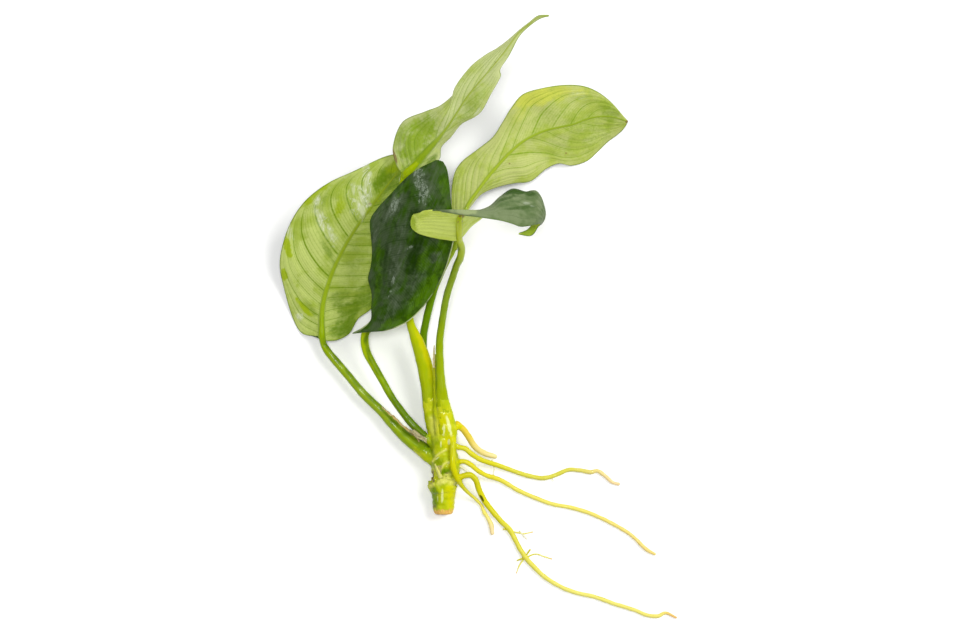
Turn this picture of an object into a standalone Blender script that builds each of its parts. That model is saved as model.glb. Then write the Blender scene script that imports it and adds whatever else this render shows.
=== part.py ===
"""A bare-root anubias lying on its side, modelled in metres with +Z up.

The plant rests on the plane Z = 0. It is drawn on a sketch, as seen from a point
EYE_HEIGHT over the sketch's zero: every table holds millimetres, x to the right, y along
the plant's length towards the leaf tips, z the height over the surface. A point that
stands high looks further out than it is, and in_frame moves it back in. PLANT_CENTRE is
the middle of the whole plant seen from above, and becomes the origin.

A leaf is a row of stations from its joint to its tip. Each station is one rib across
the blade: the point on the left margin, on the midrib and on the right margin. A stalk
or root is a row of points with a radius.
"""

import bpy
import numpy as np

MM = 0.001
EYE_HEIGHT = 2000.0
PLANT_CENTRE = (-0.4, -0.8, 0.0)

LEAF_THICKNESS = 0.8
PAPER_THICKNESS = 0.4
VEIN_BEND = 0.55
RIBS_PER_STATION = 1.7
POINTS_ACROSS_HALF = 4
TUBE_POINTS_PER_STATION = 1.5
TUBE_ROUNDNESS = 2
RHIZOME_ROUNDNESS = 4
STALK_SIDES = 10

PALE_GREEN = (0.42, 0.58, 0.12)
DARK_GREEN = (0.03, 0.12, 0.02)
STALK_GREEN = (0.30, 0.48, 0.04)
YELLOW_GREEN = (0.52, 0.62, 0.05)
RHIZOME_GREEN = (0.34, 0.48, 0.05)
ROOT_YELLOW = (0.72, 0.66, 0.14)
DRY_BROWN = (0.50, 0.34, 0.14)
WET = 0.3
SATIN = 0.45
DRY = 0.7

LEFT_LEAF = (
    ((-64.8, -6.4, 5.6), (-63.2, -8.0, 6.0), (-61.4, -8.4, 5.6)),
    ((-71.0, -5.4, 1.4), (-63.3, -4.0, 6.2), (-57.0, -8.0, 4.4)),
    ((-74.8, 0.6, 0.6), (-63.3, 0.8, 7.0), (-52.2, -5.3, 3.4)),
    ((-78.2, 12.0, 3.5), (-62.7, 6.8, 8.6), (-48.7, 0.5, 3.4)),
    ((-80.1, 22.4, 8.0), (-60.8, 14.0, 11.0), (-43.6, 4.4, 4.0)),
    ((-78.2, 32.8, 12.5), (-58.0, 21.6, 14.0), (-38.8, 11.2, 5.0)),
    ((-74.4, 41.6, 17.0), (-54.0, 29.6, 17.5), (-35.2, 20.0, 7.0)),
    ((-68.8, 48.8, 22.0), (-49.6, 36.8, 21.0), (-32.4, 29.2, 10.0)),
    ((-60.4, 55.0, 27.0), (-44.4, 44.0, 25.0), (-30.4, 38.4, 14.0)),
    ((-50.4, 59.6, 31.0), (-38.8, 51.8, 28.5), (-28.8, 48.0, 20.0)),
    ((-38.8, 65.1, 33.5), (-33.2, 59.2, 31.0), (-28.0, 57.2, 27.0)),
    ((-30.8, 67.0, 33.0), (-30.2, 66.4, 33.0), (-29.4, 65.6, 33.0)),
)
UPPER_LEAF = (
    ((-32.0, 59.4, 40.5), (-30.6, 57.8, 41.0), (-28.8, 56.8, 40.5)),
    ((-33.8, 62.8, 39.5), (-28.0, 60.0, 42.5), (-23.6, 59.2, 40.5)),
    ((-34.8, 69.6, 40.0), (-25.2, 62.8, 44.0), (-18.8, 61.2, 41.0)),
    ((-31.0, 79.2, 43.5), (-22.0, 66.4, 46.0), (-16.0, 64.8, 42.5)),
    ((-22.0, 83.4, 49.0), (-18.6, 70.2, 48.0), (-15.4, 69.2, 45.0)),
    ((-16.0, 85.8, 53.0), (-15.6, 74.0, 50.0), (-11.6, 73.2, 48.0)),
    ((-10.6, 90.4, 56.5), (-12.4, 78.4, 52.5), (-6.8, 79.0, 52.5)),
    ((-9.0, 94.8, 58.5), (-9.0, 83.4, 55.0), (0.0, 82.8, 57.5)),
    ((-3.6, 101.6, 60.0), (-5.8, 88.2, 57.5), (4.4, 90.4, 61.5)),
    ((2.0, 106.0, 61.5), (-2.0, 93.0, 60.0), (8.2, 97.2, 63.5)),
    ((6.8, 108.8, 63.0), (2.8, 98.6, 62.5), (8.2, 100.4, 64.5)),
    ((11.2, 112.1, 65.0), (9.4, 106.6, 65.0), (11.8, 106.0, 66.0)),
    ((15.6, 116.0, 67.5), (15.2, 114.5, 67.5), (15.6, 113.2, 67.5)),
    ((19.6, 119.1, 69.5), (19.4, 118.1, 69.5), (19.4, 117.2, 69.5)),
    ((23.2, 121.8, 71.5), (23.4, 121.1, 71.5), (23.8, 120.3, 71.5)),
    ((27.4, 122.1, 73.0), (27.6, 121.8, 73.0), (27.4, 121.4, 73.0)),
)
DARK_LEAF = (
    ((-18.4, 63.4, 50.8), (-16.6, 63.8, 51.0), (-14.8, 63.4, 50.8)),
    ((-23.2, 61.3, 51.5), (-17.8, 60.0, 54.5), (-13.1, 60.0, 52.5)),
    ((-29.2, 57.2, 49.5), (-19.6, 54.8, 56.0), (-12.2, 53.6, 51.5)),
    ((-35.4, 50.8, 46.5), (-21.8, 48.4, 55.5), (-11.6, 46.8, 49.0)),
    ((-40.8, 45.0, 43.0), (-24.4, 42.0, 54.0), (-10.6, 40.4, 46.0)),
    ((-43.9, 40.0, 40.0), (-27.0, 35.6, 51.5), (-10.2, 34.0, 43.0)),
    ((-43.7, 34.0, 37.5), (-29.4, 29.6, 48.5), (-11.4, 27.8, 40.0)),
    ((-43.2, 27.2, 35.0), (-31.6, 23.8, 45.0), (-13.4, 21.1, 37.5)),
    ((-43.8, 21.2, 33.5), (-33.6, 18.6, 42.0), (-15.8, 15.7, 35.5)),
    ((-44.8, 16.4, 32.0), (-35.8, 13.2, 39.0), (-19.5, 9.5, 33.5)),
    ((-43.4, 10.8, 30.5), (-38.2, 8.0, 35.5), (-24.1, 3.6, 31.5)),
    ((-43.5, 4.8, 29.0), (-41.0, 3.2, 32.0), (-30.0, -1.3, 29.5)),
    ((-43.7, 0.1, 27.5), (-43.3, -0.9, 29.0), (-37.2, -4.2, 27.5)),
    ((-47.0, -2.9, 26.5), (-46.3, -3.5, 27.0), (-43.6, -4.6, 26.5)),
    ((-50.8, -5.1, 25.5), (-51.0, -5.3, 25.5), (-50.7, -5.5, 25.5)),
)
RIGHT_LEAF = (
    ((-10.8, 28.4, 17.5), (-10.0, 28.0, 18.0), (-9.0, 28.2, 17.5)),
    ((-10.9, 39.2, 17.0), (-9.2, 33.6, 18.5), (-8.2, 34.0, 18.0)),
    ((-11.2, 46.8, 16.5), (-7.4, 40.0, 19.5), (-6.2, 41.0, 18.0)),
    ((-11.3, 52.8, 15.5), (-4.8, 46.0, 20.0), (-3.2, 46.0, 16.5)),
    ((-10.0, 59.2, 14.5), (-1.2, 51.2, 20.0), (1.0, 50.6, 14.5)),
    ((-6.8, 63.8, 14.0), (2.8, 56.6, 19.5), (7.6, 53.3, 11.5)),
    ((-1.2, 68.1, 14.5), (6.8, 61.4, 18.5), (13.8, 54.7, 9.5)),
    ((5.0, 73.1, 15.5), (11.2, 66.2, 17.5), (20.4, 55.6, 8.5)),
    ((9.0, 79.2, 17.0), (16.0, 70.6, 16.5), (26.4, 60.4, 6.5)),
    ((12.4, 84.8, 19.0), (21.2, 73.8, 15.5), (31.6, 62.6, 4.0)),
    ((17.2, 90.3, 21.0), (26.8, 76.1, 14.0), (36.8, 61.8, 1.8)),
    ((25.2, 92.8, 21.5), (32.0, 77.3, 13.0), (42.8, 63.6, 0.6)),
    ((33.6, 94.0, 20.0), (37.2, 78.4, 11.5), (47.2, 67.4, 0.5)),
    ((41.2, 93.6, 17.5), (42.4, 80.4, 10.0), (51.2, 71.3, 1.2)),
    ((47.2, 91.2, 14.5), (47.6, 81.5, 8.5), (54.6, 73.8, 2.5)),
    ((52.4, 87.2, 11.0), (52.8, 81.4, 7.5), (57.0, 75.9, 4.0)),
    ((56.0, 83.1, 8.5), (56.4, 80.5, 7.0), (58.4, 77.8, 5.5)),
    ((58.8, 79.8, 6.5), (59.2, 79.4, 6.5), (59.0, 79.0, 6.5)),
)
# the curled blade folds over on itself: back margin, fold, front margin
CURLED_LEAF = (
    ((-26.8, 36.0, 62.0), (-27.6, 39.0, 64.0), (-26.6, 42.4, 66.0)),
    ((-24.0, 34.3, 60.0), (-24.4, 42.8, 71.0), (-23.2, 43.0, 72.0)),
    ((-19.2, 33.0, 59.0), (-19.6, 43.8, 75.0), (-18.8, 43.2, 77.0)),
    ((-13.6, 32.0, 59.0), (-14.0, 43.9, 78.0), (-13.6, 43.0, 81.0)),
    ((-8.4, 32.0, 59.5), (-8.0, 43.8, 79.0), (-8.0, 42.0, 83.0)),
    ((-3.6, 37.2, 60.5), (-3.6, 43.7, 79.0), (-3.2, 41.4, 83.5)),
    ((0.4, 40.3, 61.0), (0.4, 44.1, 78.0), (1.2, 40.8, 83.0)),
    ((3.6, 43.0, 61.0), (4.2, 45.5, 76.0), (5.4, 40.2, 81.5)),
    ((7.1, 45.0, 61.0), (8.6, 49.4, 73.0), (9.2, 39.5, 79.0)),
    ((10.4, 46.2, 61.0), (13.4, 52.0, 70.0), (13.0, 38.4, 76.0)),
    ((14.4, 46.4, 60.0), (19.0, 51.0, 68.0), (16.2, 37.3, 73.5)),
    ((18.4, 46.0, 58.0), (22.9, 51.2, 66.0), (19.6, 37.6, 71.0)),
    ((21.6, 44.4, 56.0), (25.6, 46.4, 63.0), (22.4, 38.2, 68.0)),
    ((22.4, 41.6, 55.0), (25.9, 41.4, 60.0), (24.0, 38.5, 63.0)),
    ((21.2, 39.0, 55.0), (23.5, 37.6, 57.0), (23.3, 37.3, 57.6)),
    ((19.0, 36.3, 55.5), (20.6, 33.9, 55.6), (20.2, 33.8, 56.0)),
    ((15.8, 34.9, 56.0), (15.4, 34.5, 56.0), (15.8, 34.1, 56.0)),
)

# dry brown remnants of old leaf bases, and the small scale on the rhizome
LEFT_REMNANT = (
    ((-39.8, -33.6, 7.6), (-39.4, -34.6, 7.8), (-39.0, -35.4, 7.8)),
    ((-36.0, -36.4, 8.0), (-35.6, -37.8, 8.2), (-35.2, -39.2, 8.2)),
    ((-31.6, -40.4, 8.3), (-31.2, -42.0, 8.5), (-30.8, -43.6, 8.5)),
    ((-27.2, -44.2, 8.5), (-26.8, -45.6, 8.8), (-26.4, -47.0, 8.8)),
    ((-24.4, -47.8, 9.0), (-24.2, -48.6, 9.2), (-24.0, -49.4, 9.2)),
)
UPPER_REMNANT = (
    ((-18.4, -10.0, 17.4), (-18.2, -10.1, 17.5), (-18.0, -10.2, 17.6)),
    ((-18.7, -12.8, 16.9), (-18.3, -12.9, 17.0), (-17.9, -13.0, 17.1)),
    ((-18.9, -16.0, 16.3), (-18.4, -16.0, 16.4), (-17.9, -16.1, 16.5)),
    ((-18.7, -18.8, 15.7), (-18.3, -19.0, 15.8), (-17.9, -19.1, 15.9)),
)
RHIZOME_SCALE = (
    ((-17.8, -58.6, 11.0), (-16.4, -58.2, 11.8), (-14.8, -58.4, 12.4)),
    ((-17.4, -60.4, 10.9), (-16.2, -60.6, 11.7), (-15.2, -60.4, 12.1)),
    ((-16.3, -62.6, 11.2), (-16.1, -62.8, 11.3), (-15.9, -62.6, 11.4)),
)

LEFT_STALK = (
    (-62.6, -9.6, 5.2, 1.3), (-61.0, -12.4, 5.0, 1.5), (-58.4, -15.6, 5.0, 1.6),
    (-53.0, -22.0, 5.0, 1.6), (-46.6, -29.6, 5.0, 1.7), (-40.0, -36.0, 5.0, 1.8),
    (-35.0, -41.5, 5.1, 2.0), (-29.9, -46.6, 5.3, 2.35), (-25.1, -50.3, 5.5, 2.75),
    (-22.3, -51.9, 5.7, 2.9),
)
DARK_STALK = (
    (-16.8, 61.6, 50.0, 1.1), (-22.0, 52.8, 47.5, 1.3), (-28.4, 41.6, 42.0, 1.4),
    (-34.4, 29.2, 35.0, 1.5), (-38.8, 17.2, 26.5, 1.5), (-40.6, 6.0, 18.0, 1.5),
    (-42.5, -0.8, 13.6, 1.55), (-45.6, -4.9, 11.6, 1.6), (-46.1, -9.2, 10.5, 1.65),
    (-44.8, -14.0, 9.5, 1.6), (-42.4, -18.4, 9.0, 1.5), (-39.2, -24.0, 8.6, 1.45),
    (-35.6, -30.4, 8.4, 1.4), (-31.2, -36.6, 8.2, 1.4), (-26.8, -42.0, 8.5, 1.5),
    (-22.6, -46.0, 9.0, 1.5),
)
RIGHT_STALK = (
    (-10.9, 27.4, 17.6, 1.0), (-13.3, 23.6, 16.8, 1.3), (-17.0, 15.6, 14.8, 1.4),
    (-19.2, 9.2, 13.0, 1.45), (-21.4, 0.4, 11.0, 1.5), (-22.7, -7.2, 9.2, 1.5),
    (-22.4, -16.8, 7.2, 1.5), (-21.0, -28.0, 5.2, 1.5), (-19.2, -37.6, 4.1, 1.45),
    (-17.6, -44.8, 3.8, 1.4),
)
# these two stalks open into a flattened foot: half width and half height
CURLED_STALK = (
    (-8.2, 31.8, 58.2, 1.3, 1.3), (-7.4, 28.8, 51.5, 1.5, 1.5), (-7.8, 25.2, 46.0, 1.5, 1.5),
    (-9.6, 21.2, 40.0, 1.45, 1.45), (-11.0, 17.0, 35.0, 1.4, 1.4), (-12.3, 13.2, 31.5, 1.4, 1.4),
    (-13.7, 8.0, 28.0, 1.4, 1.4), (-15.1, -0.4, 23.5, 1.4, 1.4), (-16.1, -8.4, 20.2, 1.5, 1.4),
    (-16.1, -16.4, 17.4, 1.6, 1.5), (-15.8, -24.8, 14.9, 2.0, 1.7), (-15.1, -32.4, 12.9, 2.7, 2.0),
    (-13.9, -38.8, 12.0, 3.3, 2.2), (-12.9, -45.0, 11.2, 3.8, 2.3),
)
UPPER_STALK = (
    (-30.7, 57.0, 39.4, 1.2, 1.2), (-31.6, 48.0, 36.0, 1.4, 1.4), (-31.6, 38.0, 31.5, 1.5, 1.5),
    (-31.2, 28.0, 27.5, 1.5, 1.5), (-30.4, 18.0, 23.5, 1.5, 1.5), (-29.2, 8.0, 20.0, 1.5, 1.5),
    (-27.8, -1.4, 17.0, 1.65, 1.6), (-26.1, -6.0, 15.7, 2.15, 1.75), (-24.6, -10.0, 14.4, 2.65, 1.9),
    (-22.2, -18.0, 12.6, 3.1, 2.1), (-20.8, -26.0, 10.8, 3.0, 2.2), (-19.9, -34.0, 9.2, 3.0, 2.3),
    (-18.7, -40.8, 8.1, 3.1, 2.3), (-17.8, -45.2, 7.6, 3.1, 2.2),
)
RHIZOME = (
    (-14.6, -77.4, 4.2, 3.5), (-14.6, -76.0, 4.3, 4.1), (-14.6, -73.6, 4.5, 4.35),
    (-14.6, -71.0, 4.8, 4.5), (-14.6, -68.4, 5.2, 5.0), (-14.8, -66.8, 5.6, 5.5),
    (-14.6, -65.4, 5.5, 5.3), (-14.0, -63.6, 5.4, 4.8), (-13.7, -60.4, 5.8, 5.6),
    (-13.9, -57.2, 6.3, 5.7), (-14.4, -54.0, 6.7, 5.4), (-14.8, -50.8, 7.1, 5.2),
    (-14.8, -48.0, 7.6, 5.4), (-14.7, -46.6, 7.9, 5.3),
)
SHORT_ROOT = (
    (-8.0, -42.6, 8.0, 1.3), (-6.6, -43.9, 7.4, 1.3), (-4.9, -46.3, 6.0, 1.3),
    (-3.1, -49.2, 4.4, 1.25), (-0.8, -51.8, 3.0, 1.2), (2.4, -53.5, 1.8, 1.1),
    (6.0, -54.6, 1.1, 0.9),
)
UPPER_ROOT = (
    (-9.1, -50.9, 7.0, 1.0), (-6.0, -51.4, 7.0, 1.0), (-3.2, -53.7, 6.0, 1.0),
    (0.4, -55.9, 4.2, 1.0), (5.0, -57.4, 2.6, 1.0), (8.8, -58.7, 1.5, 0.95),
    (14.0, -60.6, 1.0, 0.9), (19.6, -62.4, 0.95, 0.9), (25.4, -63.2, 0.9, 0.85),
    (30.0, -62.1, 0.9, 0.85), (35.0, -60.0, 0.85, 0.8), (39.6, -60.1, 0.85, 0.8),
    (44.0, -60.8, 0.9, 0.85), (47.0, -60.4, 0.9, 0.8), (50.0, -62.3, 0.8, 0.75),
    (52.8, -64.8, 0.75, 0.7), (55.4, -65.6, 0.7, 0.6),
)
MIDDLE_ROOT = (
    (-8.1, -56.6, 6.0, 1.0), (-6.0, -56.6, 6.0, 0.95), (-3.6, -58.0, 5.2, 0.95),
    (-0.6, -60.4, 4.0, 0.9), (3.2, -62.4, 2.6, 0.9), (7.2, -63.6, 1.6, 0.9),
    (10.4, -65.2, 1.1, 0.9), (15.8, -68.4, 0.9, 0.85), (22.4, -71.2, 0.9, 0.85),
    (28.8, -73.6, 0.85, 0.8), (35.2, -74.8, 0.85, 0.8), (41.4, -76.4, 0.85, 0.8),
    (47.6, -78.8, 0.8, 0.75), (54.0, -82.0, 0.8, 0.75), (60.4, -86.0, 0.75, 0.7),
    (66.4, -91.6, 0.8, 0.75), (69.8, -93.6, 0.7, 0.55),
)
LONG_ROOT = (
    (-7.7, -62.7, 6.4, 1.2), (-5.6, -62.1, 6.4, 1.2), (-3.6, -62.2, 5.8, 1.2),
    (-1.6, -64.2, 4.8, 1.15), (-0.5, -67.6, 3.6, 1.15), (1.2, -71.2, 2.4, 1.15),
    (3.6, -74.8, 1.5, 1.1), (8.0, -80.0, 1.1, 1.05), (12.2, -84.4, 1.05, 1.0),
    (16.0, -91.6, 1.0, 0.95), (19.6, -96.6, 1.0, 0.95), (25.4, -102.4, 0.95, 0.9),
    (31.8, -106.4, 0.9, 0.85), (38.2, -109.0, 0.9, 0.85), (46.0, -110.8, 0.85, 0.8),
    (54.0, -113.6, 0.85, 0.8), (61.8, -116.0, 0.8, 0.75), (66.8, -118.0, 0.8, 0.75),
    (71.2, -118.4, 0.8, 0.75), (74.4, -117.2, 0.7, 0.6), (78.4, -119.0, 0.6, 0.4),
)
FRONT_ROOT = (
    (-10.9, -49.6, 12.8, 1.2), (-11.0, -54.2, 12.6, 1.2), (-10.8, -58.6, 12.4, 1.2),
    (-9.4, -62.8, 10.6, 1.1), (-7.6, -65.8, 7.6, 0.9), (-5.2, -68.6, 4.6, 0.7),
    (-2.0, -71.4, 2.2, 0.6), (0.3, -73.8, 1.1, 0.6), (1.4, -76.2, 0.8, 0.7),
    (3.1, -79.2, 0.9, 0.8), (4.5, -82.2, 1.0, 0.95), (4.9, -85.2, 0.9, 0.8),
)
# fine side roots, fused to the long root they grow from
SIDE_ROOTS = (
    ((11.8, -84.2, 1.0, 0.3), (14.8, -85.0, 0.6, 0.25), (17.8, -85.4, 0.4, 0.25), (21.0, -84.8, 0.3, 0.2)),
    ((18.2, -95.0, 0.9, 0.3), (22.3, -93.6, 0.5, 0.25), (25.6, -94.6, 0.35, 0.25), (28.8, -95.6, 0.3, 0.2)),
    ((18.2, -94.6, 0.9, 0.3), (15.9, -98.0, 0.4, 0.25), (14.6, -101.2, 0.3, 0.2)),
)


def clear_scene():
    for obj in list(bpy.data.objects):
        bpy.data.objects.remove(obj, do_unlink=True)


def new_collection(name):
    collection = bpy.data.collections.new(name)
    bpy.context.scene.collection.children.link(collection)
    return collection


def paint(obj, colour, roughness):
    """Gives the piece a material of its own."""
    material = bpy.data.materials.new(f"{obj.name}_surface")
    material.use_nodes = True
    shader = material.node_tree.nodes["Principled BSDF"]
    shader.inputs["Base Color"].default_value = (*colour, 1.0)
    shader.inputs["Roughness"].default_value = roughness
    shader.inputs["Metallic"].default_value = 0.0
    material.diffuse_color = (*colour, 1.0)
    obj.data.materials.clear()
    obj.data.materials.append(material)


def in_frame(points):
    """Sketch millimetres to metres about the plant's centre.

    Seen from EYE_HEIGHT, a point at height z lies nearer to the sketch's zero than it
    looks, by the share z / EYE_HEIGHT.
    """
    points = np.array(points, float)
    points[..., :2] *= 1 - points[..., 2:] / EYE_HEIGHT
    return (points - PLANT_CENTRE) * MM


def through(rows, count):
    """Reads a Catmull-Rom curve through the rows at count even steps, on every column."""
    rows = np.asarray(rows, float)
    rows = np.concatenate([2 * rows[:1] - rows[1:2], rows, 2 * rows[-1:] - rows[-2:-1]])
    at = np.linspace(0, len(rows) - 3, count)
    start = np.minimum(at.astype(int), len(rows) - 4)
    part = (at - start).reshape(-1, *[1] * (rows.ndim - 1))
    a, b, c, d = (rows[start + step] for step in range(4))
    cubic = 3 * (b - c) + d - a
    square = 2 * a - 5 * b + 4 * c - d
    return b + part / 2 * (c - a + part * (square + part * cubic))


def unit(vectors):
    return vectors / np.linalg.norm(vectors, axis=-1, keepdims=True)


def veined_grid(stations):
    """Ribs from midrib to each margin, leaving the midrib sideways and bending to the tip.

    Each rib is a quadratic curve. Its middle control point lies between the chord's
    middle and the foot, the point straight out from the midrib that is level with the
    margin.
    """
    ribs = through(stations, round(len(stations) * RIBS_PER_STATION))
    midrib = ribs[:, 1]
    along = np.gradient(midrib[:, :2], axis=0)
    side = unit(np.stack([-along[:, 1], along[:, 0], np.zeros(len(along))], axis=1))
    share = np.linspace(0, 1, POINTS_ACROSS_HALF + 1)[:, None, None]
    halves = []
    for margin in (ribs[:, 0], ribs[:, 2]):
        reach = margin - midrib
        out = (reach * side).sum(axis=1, keepdims=True)
        foot = midrib + side * out
        foot[:, 2] = margin[:, 2]
        control = (midrib + margin) / 2 * (1 - VEIN_BEND) + foot * VEIN_BEND
        halves.append(midrib * (1 - share) ** 2 + control * 2 * share * (1 - share) + margin * share**2)
    left, right = halves
    return np.concatenate([left[::-1], right[1:]]).transpose(1, 0, 2)


def folded_grid(stations):
    """Ribs from the back margin over the fold to the front margin, as quadratic curves.

    Each rib touches the fold's line on its outer side. Along the way out, where the
    margins lie at b and t and the fold at m, that puts the curve's middle control point
    at m + sqrt((m - b) (m - t)).
    """
    ribs = through(stations, round(len(stations) * RIBS_PER_STATION))
    back, fold, front = ribs[:, 0], ribs[:, 1], ribs[:, 2]
    bulge = fold - (back + front) / 2
    out = unit(bulge * (1.0, 1.0, 0.0))
    reach_back, reach_front = (
        np.maximum(((fold - margin) * out).sum(axis=1, keepdims=True), 0) for margin in (back, front)
    )
    control = fold + bulge
    control = control + out * (np.sqrt(reach_back * reach_front) - (reach_back + reach_front) / 2)
    share = np.linspace(0, 1, 2 * POINTS_ACROSS_HALF + 1)[:, None, None]
    grid = back * (1 - share) ** 2 + control * 2 * share * (1 - share) + front * share**2
    return grid.transpose(1, 0, 2)


def add_object(name, data, collection):
    obj = bpy.data.objects.new(name, data)
    collection.objects.link(obj)
    return obj


def blade(name, grid, thickness, collection):
    """A thin closed shell: the open surface of the grid, thickened to both sides."""
    rows, columns, _ = grid.shape
    index = np.arange(rows * columns).reshape(rows, columns)
    quads = np.stack([index[:-1, :-1], index[:-1, 1:], index[1:, 1:], index[1:, :-1]], axis=-1)
    mesh = bpy.data.meshes.new(name)
    mesh.from_pydata(in_frame(grid).reshape(-1, 3).tolist(), [], quads.reshape(-1, 4).tolist())
    mesh.shade_smooth()
    obj = add_object(name, mesh, collection)
    shell = obj.modifiers.new("thickness", "SOLIDIFY")
    shell.thickness = thickness * MM
    shell.offset = 0.0
    return obj


def tube(name, rows, roundness, collection):
    """A round stalk or root: a curve through the rows, bevelled to each row's radius."""
    rows = through(rows, round(len(rows) * TUBE_POINTS_PER_STATION))
    curve = bpy.data.curves.new(name, "CURVE")
    curve.dimensions = "3D"
    curve.bevel_depth = MM
    curve.bevel_resolution = roundness
    curve.use_fill_caps = True
    spline = curve.splines.new("POLY")
    spline.points.add(len(rows) - 1)
    places = np.hstack([in_frame(rows[:, :3]), np.ones((len(rows), 1))])
    spline.points.foreach_set("co", places.ravel())
    spline.points.foreach_set("radius", rows[:, 3])
    spline.use_smooth = True
    return add_object(name, curve, collection)


def sheathed_stalk(name, rows, collection):
    """A loft of ellipses along the path, as wide and as high as each row says."""
    rows = through(rows, round(len(rows) * TUBE_POINTS_PER_STATION))
    path = rows[:, :3]
    along = unit(np.gradient(path, axis=0))
    side = unit(np.cross(along, (0.0, 0.0, 1.0)))
    top = np.cross(side, along)
    angle = np.linspace(0, 2 * np.pi, STALK_SIDES, endpoint=False)[:, None, None]
    rings = path + side * rows[:, 3:4] * np.cos(angle) + top * rows[:, 4:5] * np.sin(angle)
    rings = rings.transpose(1, 0, 2)
    count = len(rings)
    index = np.arange(count * STALK_SIDES).reshape(count, STALK_SIDES)
    after = np.roll(index, -1, axis=1)
    quads = np.stack([index[:-1], index[1:], after[1:], after[:-1]], axis=-1).reshape(-1, 4).tolist()
    caps = [index[0].tolist(), index[-1, ::-1].tolist()]
    mesh = bpy.data.meshes.new(name)
    mesh.from_pydata(in_frame(rings).reshape(-1, 3).tolist(), [], quads + caps)
    mesh.shade_smooth()
    return add_object(name, mesh, collection)


def as_mesh(obj, collection):
    """The same piece as a welded mesh, so that a Boolean can use it."""
    graph = bpy.context.evaluated_depsgraph_get()
    mesh = bpy.data.meshes.new_from_object(obj.evaluated_get(graph))
    name = obj.name
    placed = obj.matrix_world.copy()
    bpy.data.objects.remove(obj, do_unlink=True)
    solid = bpy.data.objects.new(name, mesh)
    solid.matrix_world = placed
    collection.objects.link(solid)
    weld = solid.modifiers.new("weld caps", "WELD")
    weld.merge_threshold = 0.01 * MM
    return solid


def fuse(base, extra):
    """Joins extra to base, and leaves extra as a hidden helper."""
    join = base.modifiers.new(f"join {extra.name}", "BOOLEAN")
    join.operation = "UNION"
    join.object = extra
    extra.hide_render = True
    extra.display_type = "WIRE"


def branching_root(name, rows, rootlets, parts, helpers):
    """A root with its fine side roots grown into it."""
    root = as_mesh(tube(name, rows, TUBE_ROUNDNESS, parts), parts)
    for number, side_rows in enumerate(rootlets, start=1):
        side_root = tube(f"side_root_{number}", side_rows, TUBE_ROUNDNESS, helpers)
        fuse(root, as_mesh(side_root, helpers))
    return root


def main():
    clear_scene()
    parts = new_collection("anubias")
    helpers = new_collection("helpers")

    leaves = (
        ("left_leaf", veined_grid(LEFT_LEAF), PALE_GREEN),
        ("upper_leaf", veined_grid(UPPER_LEAF), PALE_GREEN),
        ("dark_leaf", veined_grid(DARK_LEAF), DARK_GREEN),
        ("right_leaf", veined_grid(RIGHT_LEAF), PALE_GREEN),
        ("curled_leaf", folded_grid(CURLED_LEAF), PALE_GREEN),
    )
    for name, grid, colour in leaves:
        paint(blade(name, grid, LEAF_THICKNESS, parts), colour, SATIN)

    stalks = (
        ("left_leaf_stalk", LEFT_STALK),
        ("dark_leaf_stalk", DARK_STALK),
        ("right_leaf_stalk", RIGHT_STALK),
    )
    for name, rows in stalks:
        paint(tube(name, rows, TUBE_ROUNDNESS, parts), STALK_GREEN, WET)
    paint(sheathed_stalk("curled_leaf_stalk", CURLED_STALK, parts), STALK_GREEN, WET)
    paint(sheathed_stalk("upper_leaf_stalk", UPPER_STALK, parts), YELLOW_GREEN, WET)
    paint(tube("rhizome", RHIZOME, RHIZOME_ROUNDNESS, parts), RHIZOME_GREEN, WET)

    roots = (
        ("short_root", SHORT_ROOT),
        ("upper_root", UPPER_ROOT),
        ("middle_root", MIDDLE_ROOT),
        ("front_root", FRONT_ROOT),
    )
    for name, rows in roots:
        paint(tube(name, rows, TUBE_ROUNDNESS, parts), ROOT_YELLOW, SATIN)
    paint(branching_root("long_root", LONG_ROOT, SIDE_ROOTS, parts, helpers), ROOT_YELLOW, SATIN)

    dry_pieces = (
        ("left_remnant", LEFT_REMNANT),
        ("upper_remnant", UPPER_REMNANT),
        ("rhizome_scale", RHIZOME_SCALE),
    )
    for name, rows in dry_pieces:
        paint(blade(name, veined_grid(rows), PAPER_THICKNESS, parts), DRY_BROWN, DRY)


main()
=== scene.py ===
"""Dresses the bare-root anubias: its leaves, stalks, rhizome, roots and dry remnants.

Every shape repeats the part's own sketch: millimetres, x to the right, y along the plant
towards the leaf tips, z the height over the surface, as seen from EYE_HEIGHT over the
sketch's zero. in_frame takes a sketch point to the frame's metres.

A leaf is a thin closed shell over a grid of ribs. A stalk or root is a row of rings.
The fields that steer a finish, such as how moist or how pale a place is, are worked out on
the same grids and kept as attributes of the mesh. Some of them paint light into the colour:
glare where the skin is moist, a grey sheen, and shade on the stalks, roots, rhizome and left leaf.
"""

import bpy
import numpy as np
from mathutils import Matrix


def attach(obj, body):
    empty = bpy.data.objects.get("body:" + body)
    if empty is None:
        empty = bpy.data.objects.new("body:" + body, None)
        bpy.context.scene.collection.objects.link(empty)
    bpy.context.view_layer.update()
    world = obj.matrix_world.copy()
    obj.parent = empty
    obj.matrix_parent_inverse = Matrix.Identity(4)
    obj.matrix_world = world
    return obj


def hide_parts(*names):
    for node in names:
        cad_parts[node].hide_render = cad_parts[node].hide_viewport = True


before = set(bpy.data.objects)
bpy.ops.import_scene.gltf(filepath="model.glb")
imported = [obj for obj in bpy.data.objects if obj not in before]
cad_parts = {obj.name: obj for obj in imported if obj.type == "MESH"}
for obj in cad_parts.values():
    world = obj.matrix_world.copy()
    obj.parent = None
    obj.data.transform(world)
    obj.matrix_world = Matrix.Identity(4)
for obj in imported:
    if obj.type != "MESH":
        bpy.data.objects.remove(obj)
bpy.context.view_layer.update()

MM = 0.001
EYE_HEIGHT = 2000.0
PLANT_CENTRE = (-0.4, -0.8, 0.0)

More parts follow.
